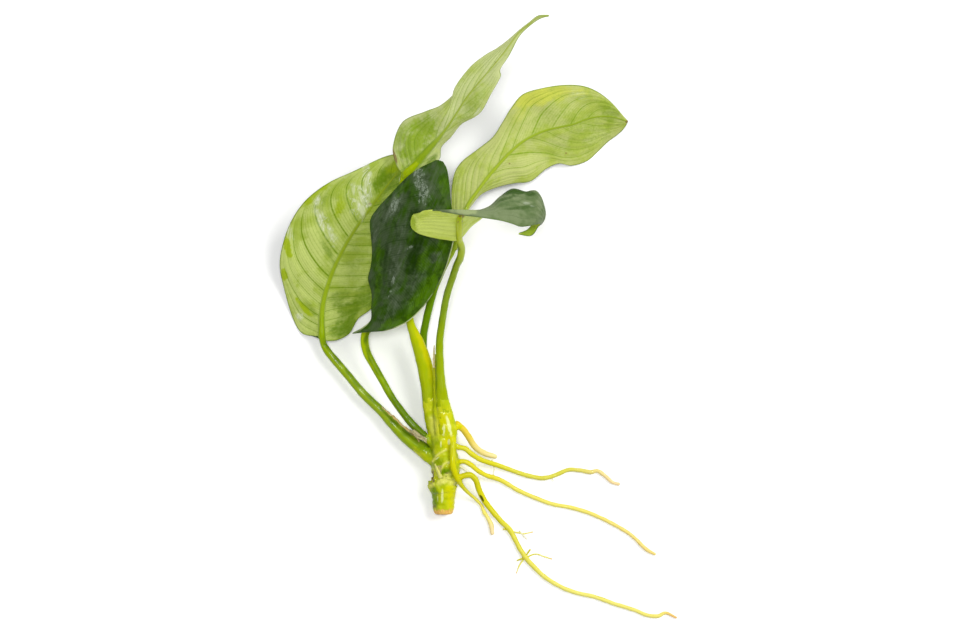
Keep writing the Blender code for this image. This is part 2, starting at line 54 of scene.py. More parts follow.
# the photograph's frame, as wide as this on the surface
VIEW_WIDTH = 384.0
SENSOR_WIDTH = 36.0

# how strongly the lights together show a colour, and the lights themselves
STUDIO_LIGHT = 1.2
SURROUNDINGS = 0.34
WINDOW_POWER = 60.0
TABLE_POWER = 42.0
FLOOR_HALF_METRES = 3.0

# nothing lies lower than this
LOWEST = 0.05
LEAF_THICKNESS = 0.55
VEIN_BEND = 0.55
RIB_PLACES = (0.0, 0.35, 0.9)
VEIN_HEIGHT = 0.10
QUILT_HEIGHT = 0.10
CRINKLE_HEIGHT = 0.10
LEAF_ROWS = 240
LEAF_HALF_COLUMNS = 56

# the angles in degrees of the rings that close a stem's end
CAP_ANGLES = (20, 40, 60, 78)
# the crown's stems are joined on a grid of VOXEL mm and smoothed this many times
VOXEL = 0.2
SMOOTHINGS = 10
CROWN_SIDES = 32
CROWN_STEPS_PER_ROW = 8
ROOT_SIDES = 22
ROOT_STEPS_PER_ROW = 14

# a blade's stations along its midrib: left margin, midrib, right margin
LEFT_LEAF = (
    ((-64.8, -6.4, 5.6), (-63.2, -8, 6), (-61.4, -8.4, 5.6)),
    ((-71, -5.4, 1.4), (-63.3, -4, 6.2), (-57, -8, 4.4)),
    ((-74.8, 0.6, 0.6), (-63.3, 0.8, 7), (-52.2, -5.3, 3.4)),
    ((-78.2, 12, 3.5), (-62.7, 6.8, 8.6), (-48.7, 0.5, 3.4)),
    ((-80.1, 22.4, 8), (-60.8, 14, 11), (-43.6, 4.4, 4)),
    ((-78.2, 32.8, 12.5), (-58, 21.6, 14), (-38.8, 11.2, 5)),
    ((-74.4, 41.6, 17), (-54, 29.6, 17.5), (-35.2, 20, 7)),
    ((-68.8, 48.8, 22), (-49.6, 36.8, 21), (-32.4, 29.2, 10)),
    ((-60.4, 55, 27), (-44.4, 44, 25), (-30.4, 38.4, 14)),
    ((-50.4, 59.6, 31), (-38.8, 51.8, 28.5), (-28.8, 48, 20)),
    ((-38.8, 65.1, 33.5), (-33.2, 59.2, 31), (-28, 57.2, 27)),
    ((-30.8, 67, 33), (-30.2, 66.4, 33), (-29.4, 65.6, 33)),
)
UPPER_LEAF = (
    ((-32, 59.4, 40.5), (-30.6, 57.8, 41), (-28.8, 56.8, 40.5)),
    ((-33.8, 62.8, 39.5), (-28, 60, 42.5), (-23.6, 59.2, 40.5)),
    ((-34.8, 69.6, 40), (-25.2, 62.8, 44), (-18.8, 61.2, 41)),
    ((-31, 79.2, 43.5), (-22, 66.4, 46), (-16, 64.8, 42.5)),
    ((-22, 83.4, 49), (-18.6, 70.2, 48), (-15.4, 69.2, 45)),
    ((-16, 85.8, 53), (-15.6, 74, 50), (-11.6, 73.2, 48)),
    ((-10.6, 90.4, 56.5), (-12.4, 78.4, 52.5), (-6.8, 79, 52.5)),
    ((-9, 94.8, 58.5), (-9, 83.4, 55), (0, 82.8, 57.5)),
    ((-3.6, 101.6, 60), (-5.8, 88.2, 57.5), (4.4, 90.4, 61.5)),
    ((2, 106, 61.5), (-2, 93, 60), (8.2, 97.2, 63.5)),
    ((6.8, 108.8, 63), (2.8, 98.6, 62.5), (8.2, 100.4, 64.5)),
    ((11.2, 112.1, 65), (9.4, 106.6, 65), (11.8, 106, 66)),
    ((15.6, 116, 67.5), (15.2, 114.5, 67.5), (15.6, 113.2, 67.5)),
    ((19.6, 119.1, 69.5), (19.4, 118.1, 69.5), (19.4, 117.2, 69.5)),
    ((23.2, 121.8, 71.5), (23.4, 121.1, 71.5), (23.8, 120.3, 71.5)),
    ((27.4, 122.1, 73), (27.6, 121.8, 73), (27.4, 121.4, 73)),
)
DARK_LEAF = (
    ((-18.4, 63.4, 50.8), (-16.6, 63.8, 51), (-14.8, 63.4, 50.8)),
    ((-23.2, 61.3, 51.5), (-17.8, 60, 54.5), (-13.1, 60, 52.5)),
    ((-29.2, 57.2, 49.5), (-19.6, 54.8, 56), (-12.2, 53.6, 51.5)),
    ((-35.4, 50.8, 46.5), (-21.8, 48.4, 55.5), (-11.6, 46.8, 49)),
    ((-40.8, 45, 43), (-24.4, 42, 54), (-10.6, 40.4, 46)),
    ((-43.9, 40, 40), (-27, 35.6, 51.5), (-10.2, 34, 43)),
    ((-43.7, 34, 37.5), (-29.4, 29.6, 48.5), (-11.4, 27.8, 40)),
    ((-43.2, 27.2, 35), (-31.6, 23.8, 45), (-13.4, 21.1, 37.5)),
    ((-43.8, 21.2, 33.5), (-33.6, 18.6, 42), (-15.8, 15.7, 35.5)),
    ((-44.8, 16.4, 32), (-35.8, 13.2, 39), (-19.5, 9.5, 33.5)),
    ((-43.4, 10.8, 30.5), (-38.2, 8, 35.5), (-24.1, 3.6, 31.5)),
    ((-43.5, 4.8, 29), (-41, 3.2, 32), (-30, -1.3, 29.5)),
    ((-43.7, 0.1, 27.5), (-43.3, -0.9, 29), (-37.2, -4.2, 27.5)),
    ((-47, -2.9, 26.5), (-46.3, -3.5, 27), (-43.6, -4.6, 26.5)),
    ((-50.8, -5.1, 25.5), (-51, -5.3, 25.5), (-50.7, -5.5, 25.5)),
)
RIGHT_LEAF = (
    ((-10.8, 28.4, 17.5), (-10, 28, 18), (-9, 28.2, 17.5)),
    ((-10.9, 39.2, 17), (-9.2, 33.6, 18.5), (-8.2, 34, 18)),
    ((-11.2, 46.8, 16.5), (-7.4, 40, 19.5), (-6.2, 41, 18)),
    ((-11.3, 52.8, 15.5), (-4.8, 46, 20), (-3.2, 46, 16.5)),
    ((-10, 59.2, 14.5), (-1.2, 51.2, 20), (1, 50.6, 14.5)),
    ((-6.8, 63.8, 14), (2.8, 56.6, 19.5), (7.6, 53.3, 11.5)),
    ((-1.2, 68.1, 14.5), (6.8, 61.4, 18.5), (13.8, 54.7, 9.5)),
    ((5, 73.1, 15.5), (11.2, 66.2, 17.5), (20.4, 55.6, 8.5)),
    ((9, 79.2, 17), (16, 70.6, 16.5), (26.4, 60.4, 6.5)),
    ((12.4, 84.8, 19), (21.2, 73.8, 15.5), (31.6, 62.6, 4)),
    ((17.2, 90.3, 21), (26.8, 76.1, 14), (36.8, 61.8, 1.8)),
    ((25.2, 92.8, 21.5), (32, 77.3, 13), (42.8, 63.6, 0.6)),
    ((33.6, 94, 20), (37.2, 78.4, 11.5), (47.2, 67.4, 0.5)),
    ((41.2, 93.6, 17.5), (42.4, 80.4, 10), (51.2, 71.3, 1.2)),
    ((47.2, 91.2, 14.5), (47.6, 81.5, 8.5), (54.6, 73.8, 2.5)),
    ((52.4, 87.2, 11), (52.8, 81.4, 7.5), (57, 75.9, 4)),
    ((56, 83.1, 8.5), (56.4, 80.5, 7), (58.4, 77.8, 5.5)),
    ((58.8, 79.8, 6.5), (59.2, 79.4, 6.5), (59, 79, 6.5)),
)
# the curled blade folds over on itself: back margin, fold, front margin
CURLED_LEAF = (
    ((-26.8, 36, 62), (-27.6, 39, 64), (-26.6, 42.4, 66)),
    ((-24, 34.3, 60), (-24.4, 42.8, 71), (-23.2, 43, 72)),
    ((-19.2, 33, 59), (-19.6, 43.8, 75), (-18.8, 43.2, 77)),
    ((-13.6, 32, 59), (-14, 43.9, 78), (-13.6, 43, 81)),
    ((-8.4, 32, 59.5), (-8, 43.8, 79), (-8, 42, 83)),
    ((-3.6, 37.2, 60.5), (-3.6, 43.7, 79), (-3.2, 41.4, 83.5)),
    ((0.4, 40.3, 61), (0.4, 44.1, 78), (1.2, 40.8, 83)),
    ((3.6, 43, 61), (4.2, 45.5, 76), (5.4, 40.2, 81.5)),
    ((7.1, 45, 61), (8.6, 49.4, 73), (9.2, 39.5, 79)),
    ((10.4, 46.2, 61), (13.4, 52, 70), (13, 38.4, 76)),
    ((14.4, 46.4, 60), (19, 51, 68), (16.2, 37.3, 73.5)),
    ((18.4, 46, 58), (22.9, 51.2, 66), (19.6, 37.6, 71)),
    ((21.6, 44.4, 56), (25.6, 46.4, 63), (22.4, 38.2, 68)),
    ((22.4, 41.6, 55), (25.9, 41.4, 60), (24, 38.5, 63)),
    ((21.2, 39, 55), (23.5, 37.6, 57), (23.3, 37.3, 57.6)),
    ((19, 36.3, 55.5), (20.6, 33.9, 55.6), (20.2, 33.8, 56)),
    ((15.8, 34.9, 56), (15.4, 34.5, 56), (15.8, 34.1, 56)),
)

# dry brown remnants of old leaf bases, the small scale on the rhizome, scraps of the old
# leaf base at the foot of the dark leaf's stalk, and a torn pale scale
LEFT_REMNANT = (
    ((-39.8, -33.6, 7.6), (-39.4, -34.6, 7.8), (-39, -35.4, 7.8)),
    ((-36, -36.4, 8), (-35.6, -37.8, 8.2), (-35.2, -39.2, 8.2)),
    ((-31.6, -40.4, 8.3), (-31.2, -42, 8.5), (-30.8, -43.6, 8.5)),
    ((-27.2, -44.2, 8.5), (-26.8, -45.6, 8.8), (-26.4, -47, 8.8)),
    ((-24.4, -47.8, 9), (-24.2, -48.6, 9.2), (-24, -49.4, 9.2)),
)
UPPER_REMNANT = (
    ((-18.4, -10, 17.4), (-18.2, -10.1, 17.5), (-18, -10.2, 17.6)),
    ((-18.7, -12.8, 16.9), (-18.3, -12.9, 17), (-17.9, -13, 17.1)),
    ((-18.9, -16, 16.3), (-18.4, -16, 16.4), (-17.9, -16.1, 16.5)),
    ((-18.7, -18.8, 15.7), (-18.3, -19, 15.8), (-17.9, -19.1, 15.9)),
)
RHIZOME_SCALE = (
    ((-17.8, -58.6, 11), (-16.4, -58.2, 11.8), (-14.8, -58.4, 12.4)),
    ((-17.4, -60.4, 10.9), (-16.2, -60.6, 11.7), (-15.2, -60.4, 12.1)),
    ((-16.3, -62.6, 11.2), (-16.1, -62.8, 11.3), (-15.9, -62.6, 11.4)),
)
SCRAPS = (
    ((-28.4, -43.6, 9.2), (-28, -44.2, 9.6), (-27.6, -44.8, 9.4)),
    ((-26.6, -43.6, 9.8), (-26.2, -45, 10.3), (-26, -46.2, 9.8)),
    ((-24.6, -45.2, 10.2), (-24.4, -46.2, 10.8), (-24.4, -47.4, 10.2)),
    ((-23, -46, 10.6), (-22.6, -47.2, 11.1), (-22.8, -48.6, 10.4)),
    ((-21.6, -47.6, 10.8), (-21.3, -48.2, 11.2), (-21.2, -49, 10.9)),
)
BRACT = (
    ((-18.2, -57.6, 11.6), (-18, -57.5, 11.9), (-17.8, -57.6, 11.8)),
    ((-17.7, -59.8, 11.3), (-17.2, -59.6, 12), (-16.6, -59.8, 11.8)),
    ((-17, -61.8, 11), (-16.4, -61.6, 11.9), (-15.5, -61.6, 11.7)),
    ((-16.6, -63.2, 11), (-15.9, -63.2, 11.6), (-15, -62.8, 11.4)),
)

# stalks and roots: x, y, z, half width
LEFT_STALK = (
    (-62.6, -9.6, 5.2, 1.3), (-61, -12.4, 5, 1.5), (-58.4, -15.6, 5, 1.6), (-53, -22, 5, 1.6),
    (-46.6, -29.6, 5, 1.7), (-40, -36, 5, 1.8), (-35, -41.5, 5.1, 2), (-29.9, -46.6, 5.3, 2.35),
    (-25.1, -50.3, 5.5, 2.75), (-22.3, -51.9, 5.7, 2.9),
)
DARK_STALK = (
    (-16.8, 61.6, 50, 1.1), (-22, 52.8, 47.5, 1.3), (-28.4, 41.6, 42, 1.4),
    (-34.4, 29.2, 35, 1.5), (-38.8, 17.2, 26.5, 1.5), (-40.6, 6, 18, 1.5),
    (-42.5, -0.8, 13.6, 1.55), (-45.6, -4.9, 11.6, 1.6), (-46.1, -9.2, 10.5, 1.65),
    (-44.8, -14, 9.5, 1.6), (-42.4, -18.4, 9, 1.5), (-39.2, -24, 8.6, 1.45),
    (-35.6, -30.4, 8.4, 1.4), (-31.2, -36.6, 8.2, 1.4), (-26.8, -42, 8.5, 1.5),
    (-22.6, -46, 9, 1.5),
)
RIGHT_STALK = (
    (-10.9, 27.4, 17.6, 1), (-13.3, 23.6, 16.8, 1.3), (-17, 15.6, 14.8, 1.4),
    (-19.2, 9.2, 13, 1.45), (-21.4, 0.4, 11, 1.5), (-22.7, -7.2, 9.2, 1.5),
    (-22.4, -16.8, 7.2, 1.5), (-21, -28, 5.2, 1.5), (-19.2, -37.6, 4.1, 1.45),
    (-17.6, -44.8, 3.8, 1.4),
)
# these two stalks open into a flattened foot: half width and half height
CURLED_STALK = (
    (-8.2, 31.8, 58.2, 1.3, 1.3), (-7.4, 28.8, 51.5, 1.5, 1.5), (-7.8, 25.2, 46, 1.5, 1.5),
    (-9.6, 21.2, 40, 1.45, 1.45), (-11, 17, 35, 1.4, 1.4), (-12.3, 13.2, 31.5, 1.4, 1.4),
    (-13.7, 8, 28, 1.4, 1.4), (-15.1, -0.4, 23.5, 1.4, 1.4), (-16.1, -8.4, 20.2, 1.5, 1.4),
    (-16.1, -16.4, 17.4, 1.6, 1.5), (-15.8, -24.8, 14.9, 2, 1.7), (-15.1, -32.4, 12.9, 2.7, 2),
    (-13.9, -38.8, 12, 3.3, 2.2), (-12.9, -45, 11.2, 3.8, 2.3),
)
UPPER_STALK = (
    (-30.7, 57, 39.4, 1.2, 1.2), (-31.6, 48, 36, 1.4, 1.4), (-31.6, 38, 31.5, 1.5, 1.5),
    (-31.2, 28, 27.5, 1.5, 1.5), (-30.4, 18, 23.5, 1.5, 1.5), (-29.2, 8, 20, 1.5, 1.5),
    (-27.8, -1.4, 17, 1.65, 1.6), (-26.1, -6, 15.7, 2.15, 1.75), (-24.6, -10, 14.4, 2.65, 1.9),
    (-22.2, -18, 12.6, 3.1, 2.1), (-20.8, -26, 10.8, 3, 2.2), (-19.9, -34, 9.2, 3, 2.3),
    (-18.7, -40.8, 8.1, 3.1, 2.3), (-17.8, -45.2, 7.6, 3.1, 2.2),
)
RHIZOME = (
    (-14.6, -77.4, 4.2, 3.5), (-14.6, -76, 4.3, 4.1), (-14.6, -73.6, 4.5, 4.35),
    (-14.6, -71, 4.8, 4.5), (-14.6, -68.4, 5.2, 5), (-14.8, -66.8, 5.6, 5.5),
    (-14.6, -65.4, 5.5, 5.3), (-14, -63.6, 5.4, 4.8), (-13.7, -60.4, 5.8, 5.6),
    (-13.9, -57.2, 6.3, 5.7), (-14.4, -54, 6.7, 5.4), (-14.8, -50.8, 7.1, 5.2),
    (-14.8, -48, 7.6, 5.4), (-14.7, -46.6, 7.9, 5.3),
)
SHORT_ROOT = (
    (-8, -42.6, 8, 1.3), (-6.6, -43.9, 7.4, 1.3), (-4.9, -46.3, 6, 1.3),
    (-3.1, -49.2, 4.4, 1.25), (-0.8, -51.8, 3, 1.2), (2.4, -53.5, 1.8, 1.1),
    (6, -54.6, 1.1, 0.9),
)
UPPER_ROOT = (
    (-9.1, -50.9, 7, 1), (-6, -51.4, 7, 1), (-3.2, -53.7, 6, 1), (0.4, -55.9, 4.2, 1),
    (5, -57.4, 2.6, 1), (8.8, -58.7, 1.5, 0.95), (14, -60.6, 1, 0.9), (19.6, -62.4, 0.95, 0.9),
    (25.4, -63.2, 0.9, 0.85), (30, -62.1, 0.9, 0.85), (35, -60, 0.85, 0.8),
    (39.6, -60.1, 0.85, 0.8), (44, -60.8, 0.9, 0.85), (47, -60.4, 0.9, 0.8),
    (50, -62.3, 0.8, 0.75), (52.8, -64.8, 0.75, 0.7), (55.4, -65.6, 0.7, 0.6),
)
MIDDLE_ROOT = (
    (-8.1, -56.6, 6, 1), (-6, -56.6, 6, 0.95), (-3.6, -58, 5.2, 0.95), (-0.6, -60.4, 4, 0.9),
    (3.2, -62.4, 2.6, 0.9), (7.2, -63.6, 1.6, 0.9), (10.4, -65.2, 1.1, 0.9),
    (15.8, -68.4, 0.9, 0.85), (22.4, -71.2, 0.9, 0.85), (28.8, -73.6, 0.85, 0.8),
    (35.2, -74.8, 0.85, 0.8), (41.4, -76.4, 0.85, 0.8), (47.6, -78.8, 0.8, 0.75),
    (54, -82, 0.8, 0.75), (60.4, -86, 0.75, 0.7), (66.4, -91.6, 0.8, 0.75),
    (69.8, -93.6, 0.7, 0.55),
)
LONG_ROOT = (
    (-7.7, -62.7, 6.4, 1.2), (-5.6, -62.1, 6.4, 1.2), (-3.6, -62.2, 5.8, 1.2),
    (-1.6, -64.2, 4.8, 1.15), (-0.5, -67.6, 3.6, 1.15), (1.2, -71.2, 2.4, 1.15),
    (3.6, -74.8, 1.5, 1.1), (8, -80, 1.1, 1.05), (12.2, -84.4, 1.05, 1), (16, -91.6, 1, 0.95),
    (19.6, -96.6, 1, 0.95), (25.4, -102.4, 0.95, 0.9), (31.8, -106.4, 0.9, 0.85),
    (38.2, -109, 0.9, 0.85), (46, -110.8, 0.85, 0.8), (54, -113.6, 0.85, 0.8),
    (61.8, -116, 0.8, 0.75), (66.8, -118, 0.8, 0.75), (71.2, -118.4, 0.8, 0.75),
    (74.4, -117.2, 0.7, 0.6), (78.4, -119, 0.6, 0.4),
)
FRONT_ROOT = (
    (-10.9, -49.6, 12.8, 1.2), (-11, -54.2, 12.6, 1.2), (-10.8, -58.6, 12.4, 1.2),
    (-9.4, -62.8, 10.6, 1.1), (-7.6, -65.8, 7.6, 0.9), (-5.2, -68.6, 4.6, 0.7),
    (-2, -71.4, 2.2, 0.6), (0.3, -73.8, 1.1, 0.6), (1.4, -76.2, 0.8, 0.7),
    (3.1, -79.2, 0.9, 0.8), (4.5, -82.2, 1, 0.95), (4.9, -85.2, 0.9, 0.8),
)
# fine side roots, fused to the long root they grow from
SIDE_ROOTS = (
    (
        (11.8, -84.2, 1, 0.3), (14.8, -85, 0.6, 0.25), (17.8, -85.4, 0.4, 0.25),
        (21, -84.8, 0.3, 0.2),
    ),
    (
        (18.2, -95, 0.9, 0.3), (22.3, -93.6, 0.5, 0.25), (25.6, -94.6, 0.35, 0.25),
        (28.8, -95.6, 0.3, 0.2),
    ),
    ((18.2, -94.6, 0.9, 0.3), (15.9, -98, 0.4, 0.25), (14.6, -101.2, 0.3, 0.2)),
)
# tiny rootlets that only show as threads
FINE_ROOTS = (
    ((5.2, -57.6, 2.2, 0.3), (5.7, -59.4, 1.9, 0.25), (5.3, -61, 2, 0.3), (5.6, -62.6, 1.7, 0.2)),
    ((-7, -59.2, 6.2, 0.3), (-5.6, -60.2, 6, 0.3), (-4, -61.2, 5.9, 0.25)),
    ((16.6, -85.3, 0.5, 0.25), (17.6, -86.4, 0.5, 0.25), (18.8, -87.6, 0.45, 0.2)),
    ((29.2, -62.6, 0.9, 0.3), (29, -63.6, 0.7, 0.25), (29.4, -64.4, 0.6, 0.2)),
)

# the stalks' upper ends, which run on into the midribs of the blades
LEFT_NECK = ((-63.2, 3.2, 7.6, 0.6), (-63.3, -2, 6.9, 1), (-63.2, -6.4, 6.4, 1.25))
RIGHT_NECK = ((-4.8, 46, 20.3, 0.4), (-7.4, 40, 19.9, 0.7), (-9.3, 33, 18.9, 0.9))
CURLED_NECK = (
    (-8, 41.6, 77.6, 0.8, 0.5), (-8.2, 40.2, 75.6, 1.2, 0.9), (-8.3, 37.8, 71.4, 1.35, 1.1),
    (-8.35, 35.2, 66.3, 1.4, 1.2),
)
UPPER_NECK = (
    (-22.6, 65.6, 45, 0.4, 0.3), (-25.2, 62.8, 44.3, 0.9, 0.55), (-27.6, 60.4, 43.3, 1.4, 0.8),
    (-29.8, 58.2, 41.6, 1.7, 1),
)
# where the stalks and roots grow into the rhizome: x, y, z, half width, half height
CROWN_FEET = (
    (
        (-36, -40.4, 5, 1.6, 1.6), (-33, -43.5, 5.1, 2, 1.9), (-29.8, -46.6, 5.3, 2.3, 2.2),
        (-25.4, -50.1, 5.6, 2.65, 2.6), (-21.4, -53.2, 6, 3, 3), (-17, -56.4, 6.2, 3, 3.2),
    ),
    (
        (-25, -43.8, 8.6, 0.9, 0.9), (-22.6, -46, 8.9, 1.2, 1.2), (-20, -48.6, 8.6, 1.5, 1.5),
        (-17.4, -51, 8, 1.6, 1.6),
    ),
    (
        (-18.1, -13.6, 15.6, 0.5, 0.5), (-18, -20, 14.2, 0.8, 0.8), (-17.6, -28, 12.8, 1.2, 1.2),
        (-17, -36, 11.7, 1.7, 1.5), (-16.2, -42, 11, 2.1, 1.8), (-15.6, -47, 9.8, 2.4, 2.2),
    ),
    ((-17.9, -42.6, 3.8, 1.2, 1.2), (-17, -46.4, 4.4, 1.5, 1.5), (-16, -50, 5.4, 1.8, 1.8)),
    (
        (-15.6, -28, 14.1, 1.9, 1.6), (-15.1, -32.4, 12.9, 2.75, 2),
        (-13.9, -38.8, 12, 3.35, 2.3), (-13, -44, 11.2, 3.8, 2.5), (-13.4, -48, 9.6, 4, 3.2),
        (-14, -52, 8, 4, 3.6),
    ),
    (
        (-20.5, -29, 10.3, 2.6, 1.9), (-19.9, -34, 9.4, 3.05, 2.3),
        (-18.7, -40.8, 8.3, 3.15, 2.4), (-17.4, -45.6, 7.8, 3.2, 2.5),
        (-16.4, -50, 7.2, 3.4, 2.8),
    ),
    ((-11.6, -43.6, 9.2, 1.8, 1.8), (-9.4, -42.6, 8.6, 1.6, 1.6), (-7.6, -42.7, 7.9, 1.2, 1.2)),
    ((-12, -50.4, 7.2, 1.9, 1.9), (-9.6, -50.7, 7, 1.3, 1.3), (-7.8, -51, 7, 0.9, 0.9)),
    ((-11, -56.8, 6.2, 1.7, 1.7), (-8.8, -56.7, 6, 1.2, 1.2), (-7, -56.6, 6, 0.85, 0.85)),
    ((-10.8, -63.2, 6.2, 1.8, 1.8), (-8.6, -63, 6.3, 1.5, 1.5), (-6.6, -62.4, 6.4, 1.1, 1.1)),
    ((-11.4, -46.4, 12, 2, 1.8), (-11, -49.6, 12.4, 1.5, 1.4), (-11, -53, 12.5, 1.1, 1.1)),
)
# old leaf scars across the rhizome, its torn collar's highest point and its faint rings
SCARS = (
    ((-18.8, -56.6), (-17.6, -54.6), (-16, -53.2), (-13.6, -52)),
    ((-15.4, -59.4), (-14.6, -57.8), (-13.4, -57), (-12.2, -56.8)),
)
COLLAR_HIGH = -62.2
COLLAR_MIDDLE = -12.5
RING_SPACING = 2.1
# where -y reaches the tan cut, within half a millimetre
CUT_END = 76.0

# where the side veins of a blade leave its midrib, left and right, in shares of its length
LEFT_FEET = (
    (0.05, 0.12, 0.19, 0.26, 0.33, 0.40, 0.50, 0.586, 0.66, 0.73, 0.80, 0.87),
    (0.10, 0.155, 0.22, 0.298, 0.35, 0.41, 0.466, 0.51, 0.554, 0.61, 0.67, 0.75, 0.83),
)
UPPER_FEET = (
    (0.05, 0.09, 0.138, 0.20, 0.286, 0.35, 0.42, 0.50, 0.58, 0.66, 0.74),
    (0.06, 0.12, 0.18, 0.25, 0.33, 0.41, 0.49, 0.57, 0.65, 0.74),
)
RIGHT_FEET = (
    (0.10, 0.14, 0.19, 0.236, 0.30, 0.36, 0.429, 0.52, 0.609, 0.692, 0.77, 0.85),
    (0.14, 0.20, 0.25, 0.313, 0.41, 0.514, 0.58, 0.654, 0.73, 0.81),
)
DARK_FEET = (tuple(np.linspace(0.05, 0.95, 14)), tuple(np.linspace(0.06, 0.94, 14)))

# what colours each surface where, as spots for blots(); the wet spots also paint glare
LEFT_WASHES = {
    "pale": (
        (-68, 26, 14, 6.5, 70, 1), (-73, 10, 8, 4, 110, 0.9), (-76, 22, 16, 3.6, 100, 1),
        (-54, 57.5, 8, 3.5, 25, 0.45), (-72, -2.6, 4, 3, 0, 1), (-60, 8, 9, 4, 60, 0.5),
        (-70, 12, 8, 4.5, 110, 1),
    ),
    # the deep spots on the blade's lower right are painted shadow of the dark leaf above it
    "deep": (
        (-50, 21, 12, 5, 80, 0.3), (-53, -3, 8, 6, 30, 0.75), (-37, 55, 13, 6, 45, 0.6),
        (-51, 5, 8, 4.5, 20, 0.7), (-56, 9, 6, 4, 40, 0.5), (-38.6, 57, 8, 4, 50, 0.8),
        (-44.5, 10, 12, 6, 50, 0.6), (-62, 48, 7, 1.8, 62, 0.4), (-60.5, 27, 9, 1.8, 118, 0.55),
        (-68, 6, 7, 1.6, 125, 0.5),
    ),
    "bright": (
        (-77, 29.4, 6, 1.7, 108, 1.4), (-70.4, 5.4, 5.5, 1.3, 130, 1.3),
        (-78.2, 18, 2.6, 1.4, 95, 1.2), (-67, 50.4, 10, 2.6, 42, 0.9),
        (-56, 46, 6, 2.4, 80, 0.7), (-33, 62, 6, 3, 30, 0.8), (-50, 61, 8, 1.4, 27, 0.7),
        (-42, 47, 9, 2, 60, 0.5),
    ),
    "wet_and_glare": (
        (-45, 56, 9, 1.9, 96, 1.1), (-48.6, 48, 8, 4, 100, 0.95), (-62, 38, 12, 2.6, 118, 0.55),
        (-65.2, 48, 3, 2.4, 80, 0.6), (-76, 35, 3.8, 1.6, 100, 0.6), (-54, 58, 6, 2, 28, 0.25),
        (-30.8, 57.6, 3.4, 1.6, 80, 1.2), (-72, 2, 3, 2, 100, 0.6),
    ),
    "brown": ((-44.2, 46.6, 0.9, 0.6, 0, 1),),
}
UPPER_WASHES = {
    "pale": (
        (-12, 80.8, 12, 2.6, 58, 1), (9, 105, 16, 5, 55, 1), (24, 121, 6, 2, 15, 1),
        (-32, 70, 6, 2.4, 80, 0.9), (-15, 66.6, 3.4, 1.6, 60, 0.5), (-2, 96, 10, 3, 50, 0.5),
        (4, 100, 4, 1.6, 50, 1),
    ),
    "deep": (
        (-22, 67.5, 8, 1.3, 48, 0.8), (-4, 84, 10, 2, 52, 0.25), (-19, 64.4, 4, 1.6, 50, 0.6),
    ),
    "bright": (
        (-7.6, 97, 6, 1.6, 55, 0.4), (-24.6, 72, 14, 7, 62, 0.75), (-31, 74, 8, 4, 70, 0.6),
        (-3, 86, 12, 3.4, 52, 0.4), (12, 108, 8, 1.6, 58, 0.3),
    ),
    "brown": ((-34.2, 65.6, 5, 0.8, 112, 1), (6.2, 103.2, 0.5, 0.4, 0, 1)),
    "wet_and_glare": ((-1, 82.6, 4, 1.4, 60, 0.5), (-16, 65, 3, 0.9, 70, 0.4)),
}
RIGHT_WASHES = {
    "pale": (
        (7, 72, 14, 5, 60, 1), (-3, 56, 10, 5, 75, 0.8), (16, 61, 14, 5, 25, 0.9),
        (34, 64, 8, 2, 20, 0.3), (14, 84, 5, 3, 60, 0.7),
    ),
    "deep": (
        (52, 83, 9, 5, 130, 0.55), (42, 77, 17, 10, 160, 0.4), (26, 80, 12, 6, 40, 0.35),
        (32, 69, 12, 4, 20, 0.35), (30, 72.5, 10, 2.6, 170, 0.25), (-10, 56, 9, 1, 70, 0.4),
    ),
    "bright": ((22, 89, 14, 5, 14, 0.75), (33, 91.6, 12, 3, 0, 0.6), (16, 83, 7, 3, 55, 0.4)),
    "brown": (
        (59, 79.4, 1.2, 0.8, 0, 1), (11.8, 62.6, 0.5, 0.4, 0, 0.9),
        (34.4, 66.8, 0.5, 0.4, 0, 0.9),
    ),
    "wet_and_glare": ((40, 90, 5, 3, 150, 0.3),),
}
DARK_WASHES = {
    "rim": ((-24, 1.5, 17, 5, 32, 1), (-42, -4, 9, 3, 0, 0.9), (-12.4, 24, 12, 3, 72, 1)),
    # the pale spots are the dark leaf's painted grey sheen of reflected light
    "pale": (
        (-35, 45, 8, 4, 55, 0.85), (-33.6, 22, 17, 3.6, 80, 0.62), (-41.8, 36, 9, 2, 85, 0.9),
        (-17.6, 25.2, 4.8, 2.2, 15, 1), (-31, 36, 8, 4, 70, 0.62), (-22, 55, 7, 3.6, 110, 0.6),
        (-35, 6, 8, 3, 60, 0.5), (-26, 14, 10, 3.6, 62, 0.5),
    ),
    "deep": (
        (-26.4, 26, 13, 3.8, 78, 0.8), (-26, 41, 6, 3, 60, 0.7), (-20.4, 14.4, 4, 2.4, 110, 0.6),
        (-37.6, 24, 14, 1.2, 86, 0.5),
    ),
    "bright": (
        (-14.5, 28, 18, 3.6, 78, 0.6), (-14.6, 50, 11, 3.2, 92, 0.45),
        (-22.5, 10, 14, 5, 58, 0.7), (-30, -0.6, 14, 3.6, 14, 0.65),
        (-41, 12, 11, 1.8, 78, 0.55), (-40.4, 26, 12, 1.4, 88, 0.5), (-22, 24, 8, 3.4, 80, 0.5),
        (-31, 52, 9, 1.4, 50, 0.4),
    ),
    # these spots are painted glare on a crinkled water layer, with dark cracks
    "wet_and_glare": (
        (-23.2, 52.8, 8.4, 2.8, 105, 1.2), (-12.4, 23.2, 0.5, 0.4, 0, 2),
        (-25, 58, 4, 1.8, 80, 0.8), (-34, 46, 5, 1.8, 75, 0.7), (-28, 29.2, 1.3, 0.6, 30, 1.2),
        (-34.4, 16.8, 3.5, 0.5, 74, 0.9), (-36.2, 10.4, 2.6, 0.4, 70, 0.7),
    ),
}
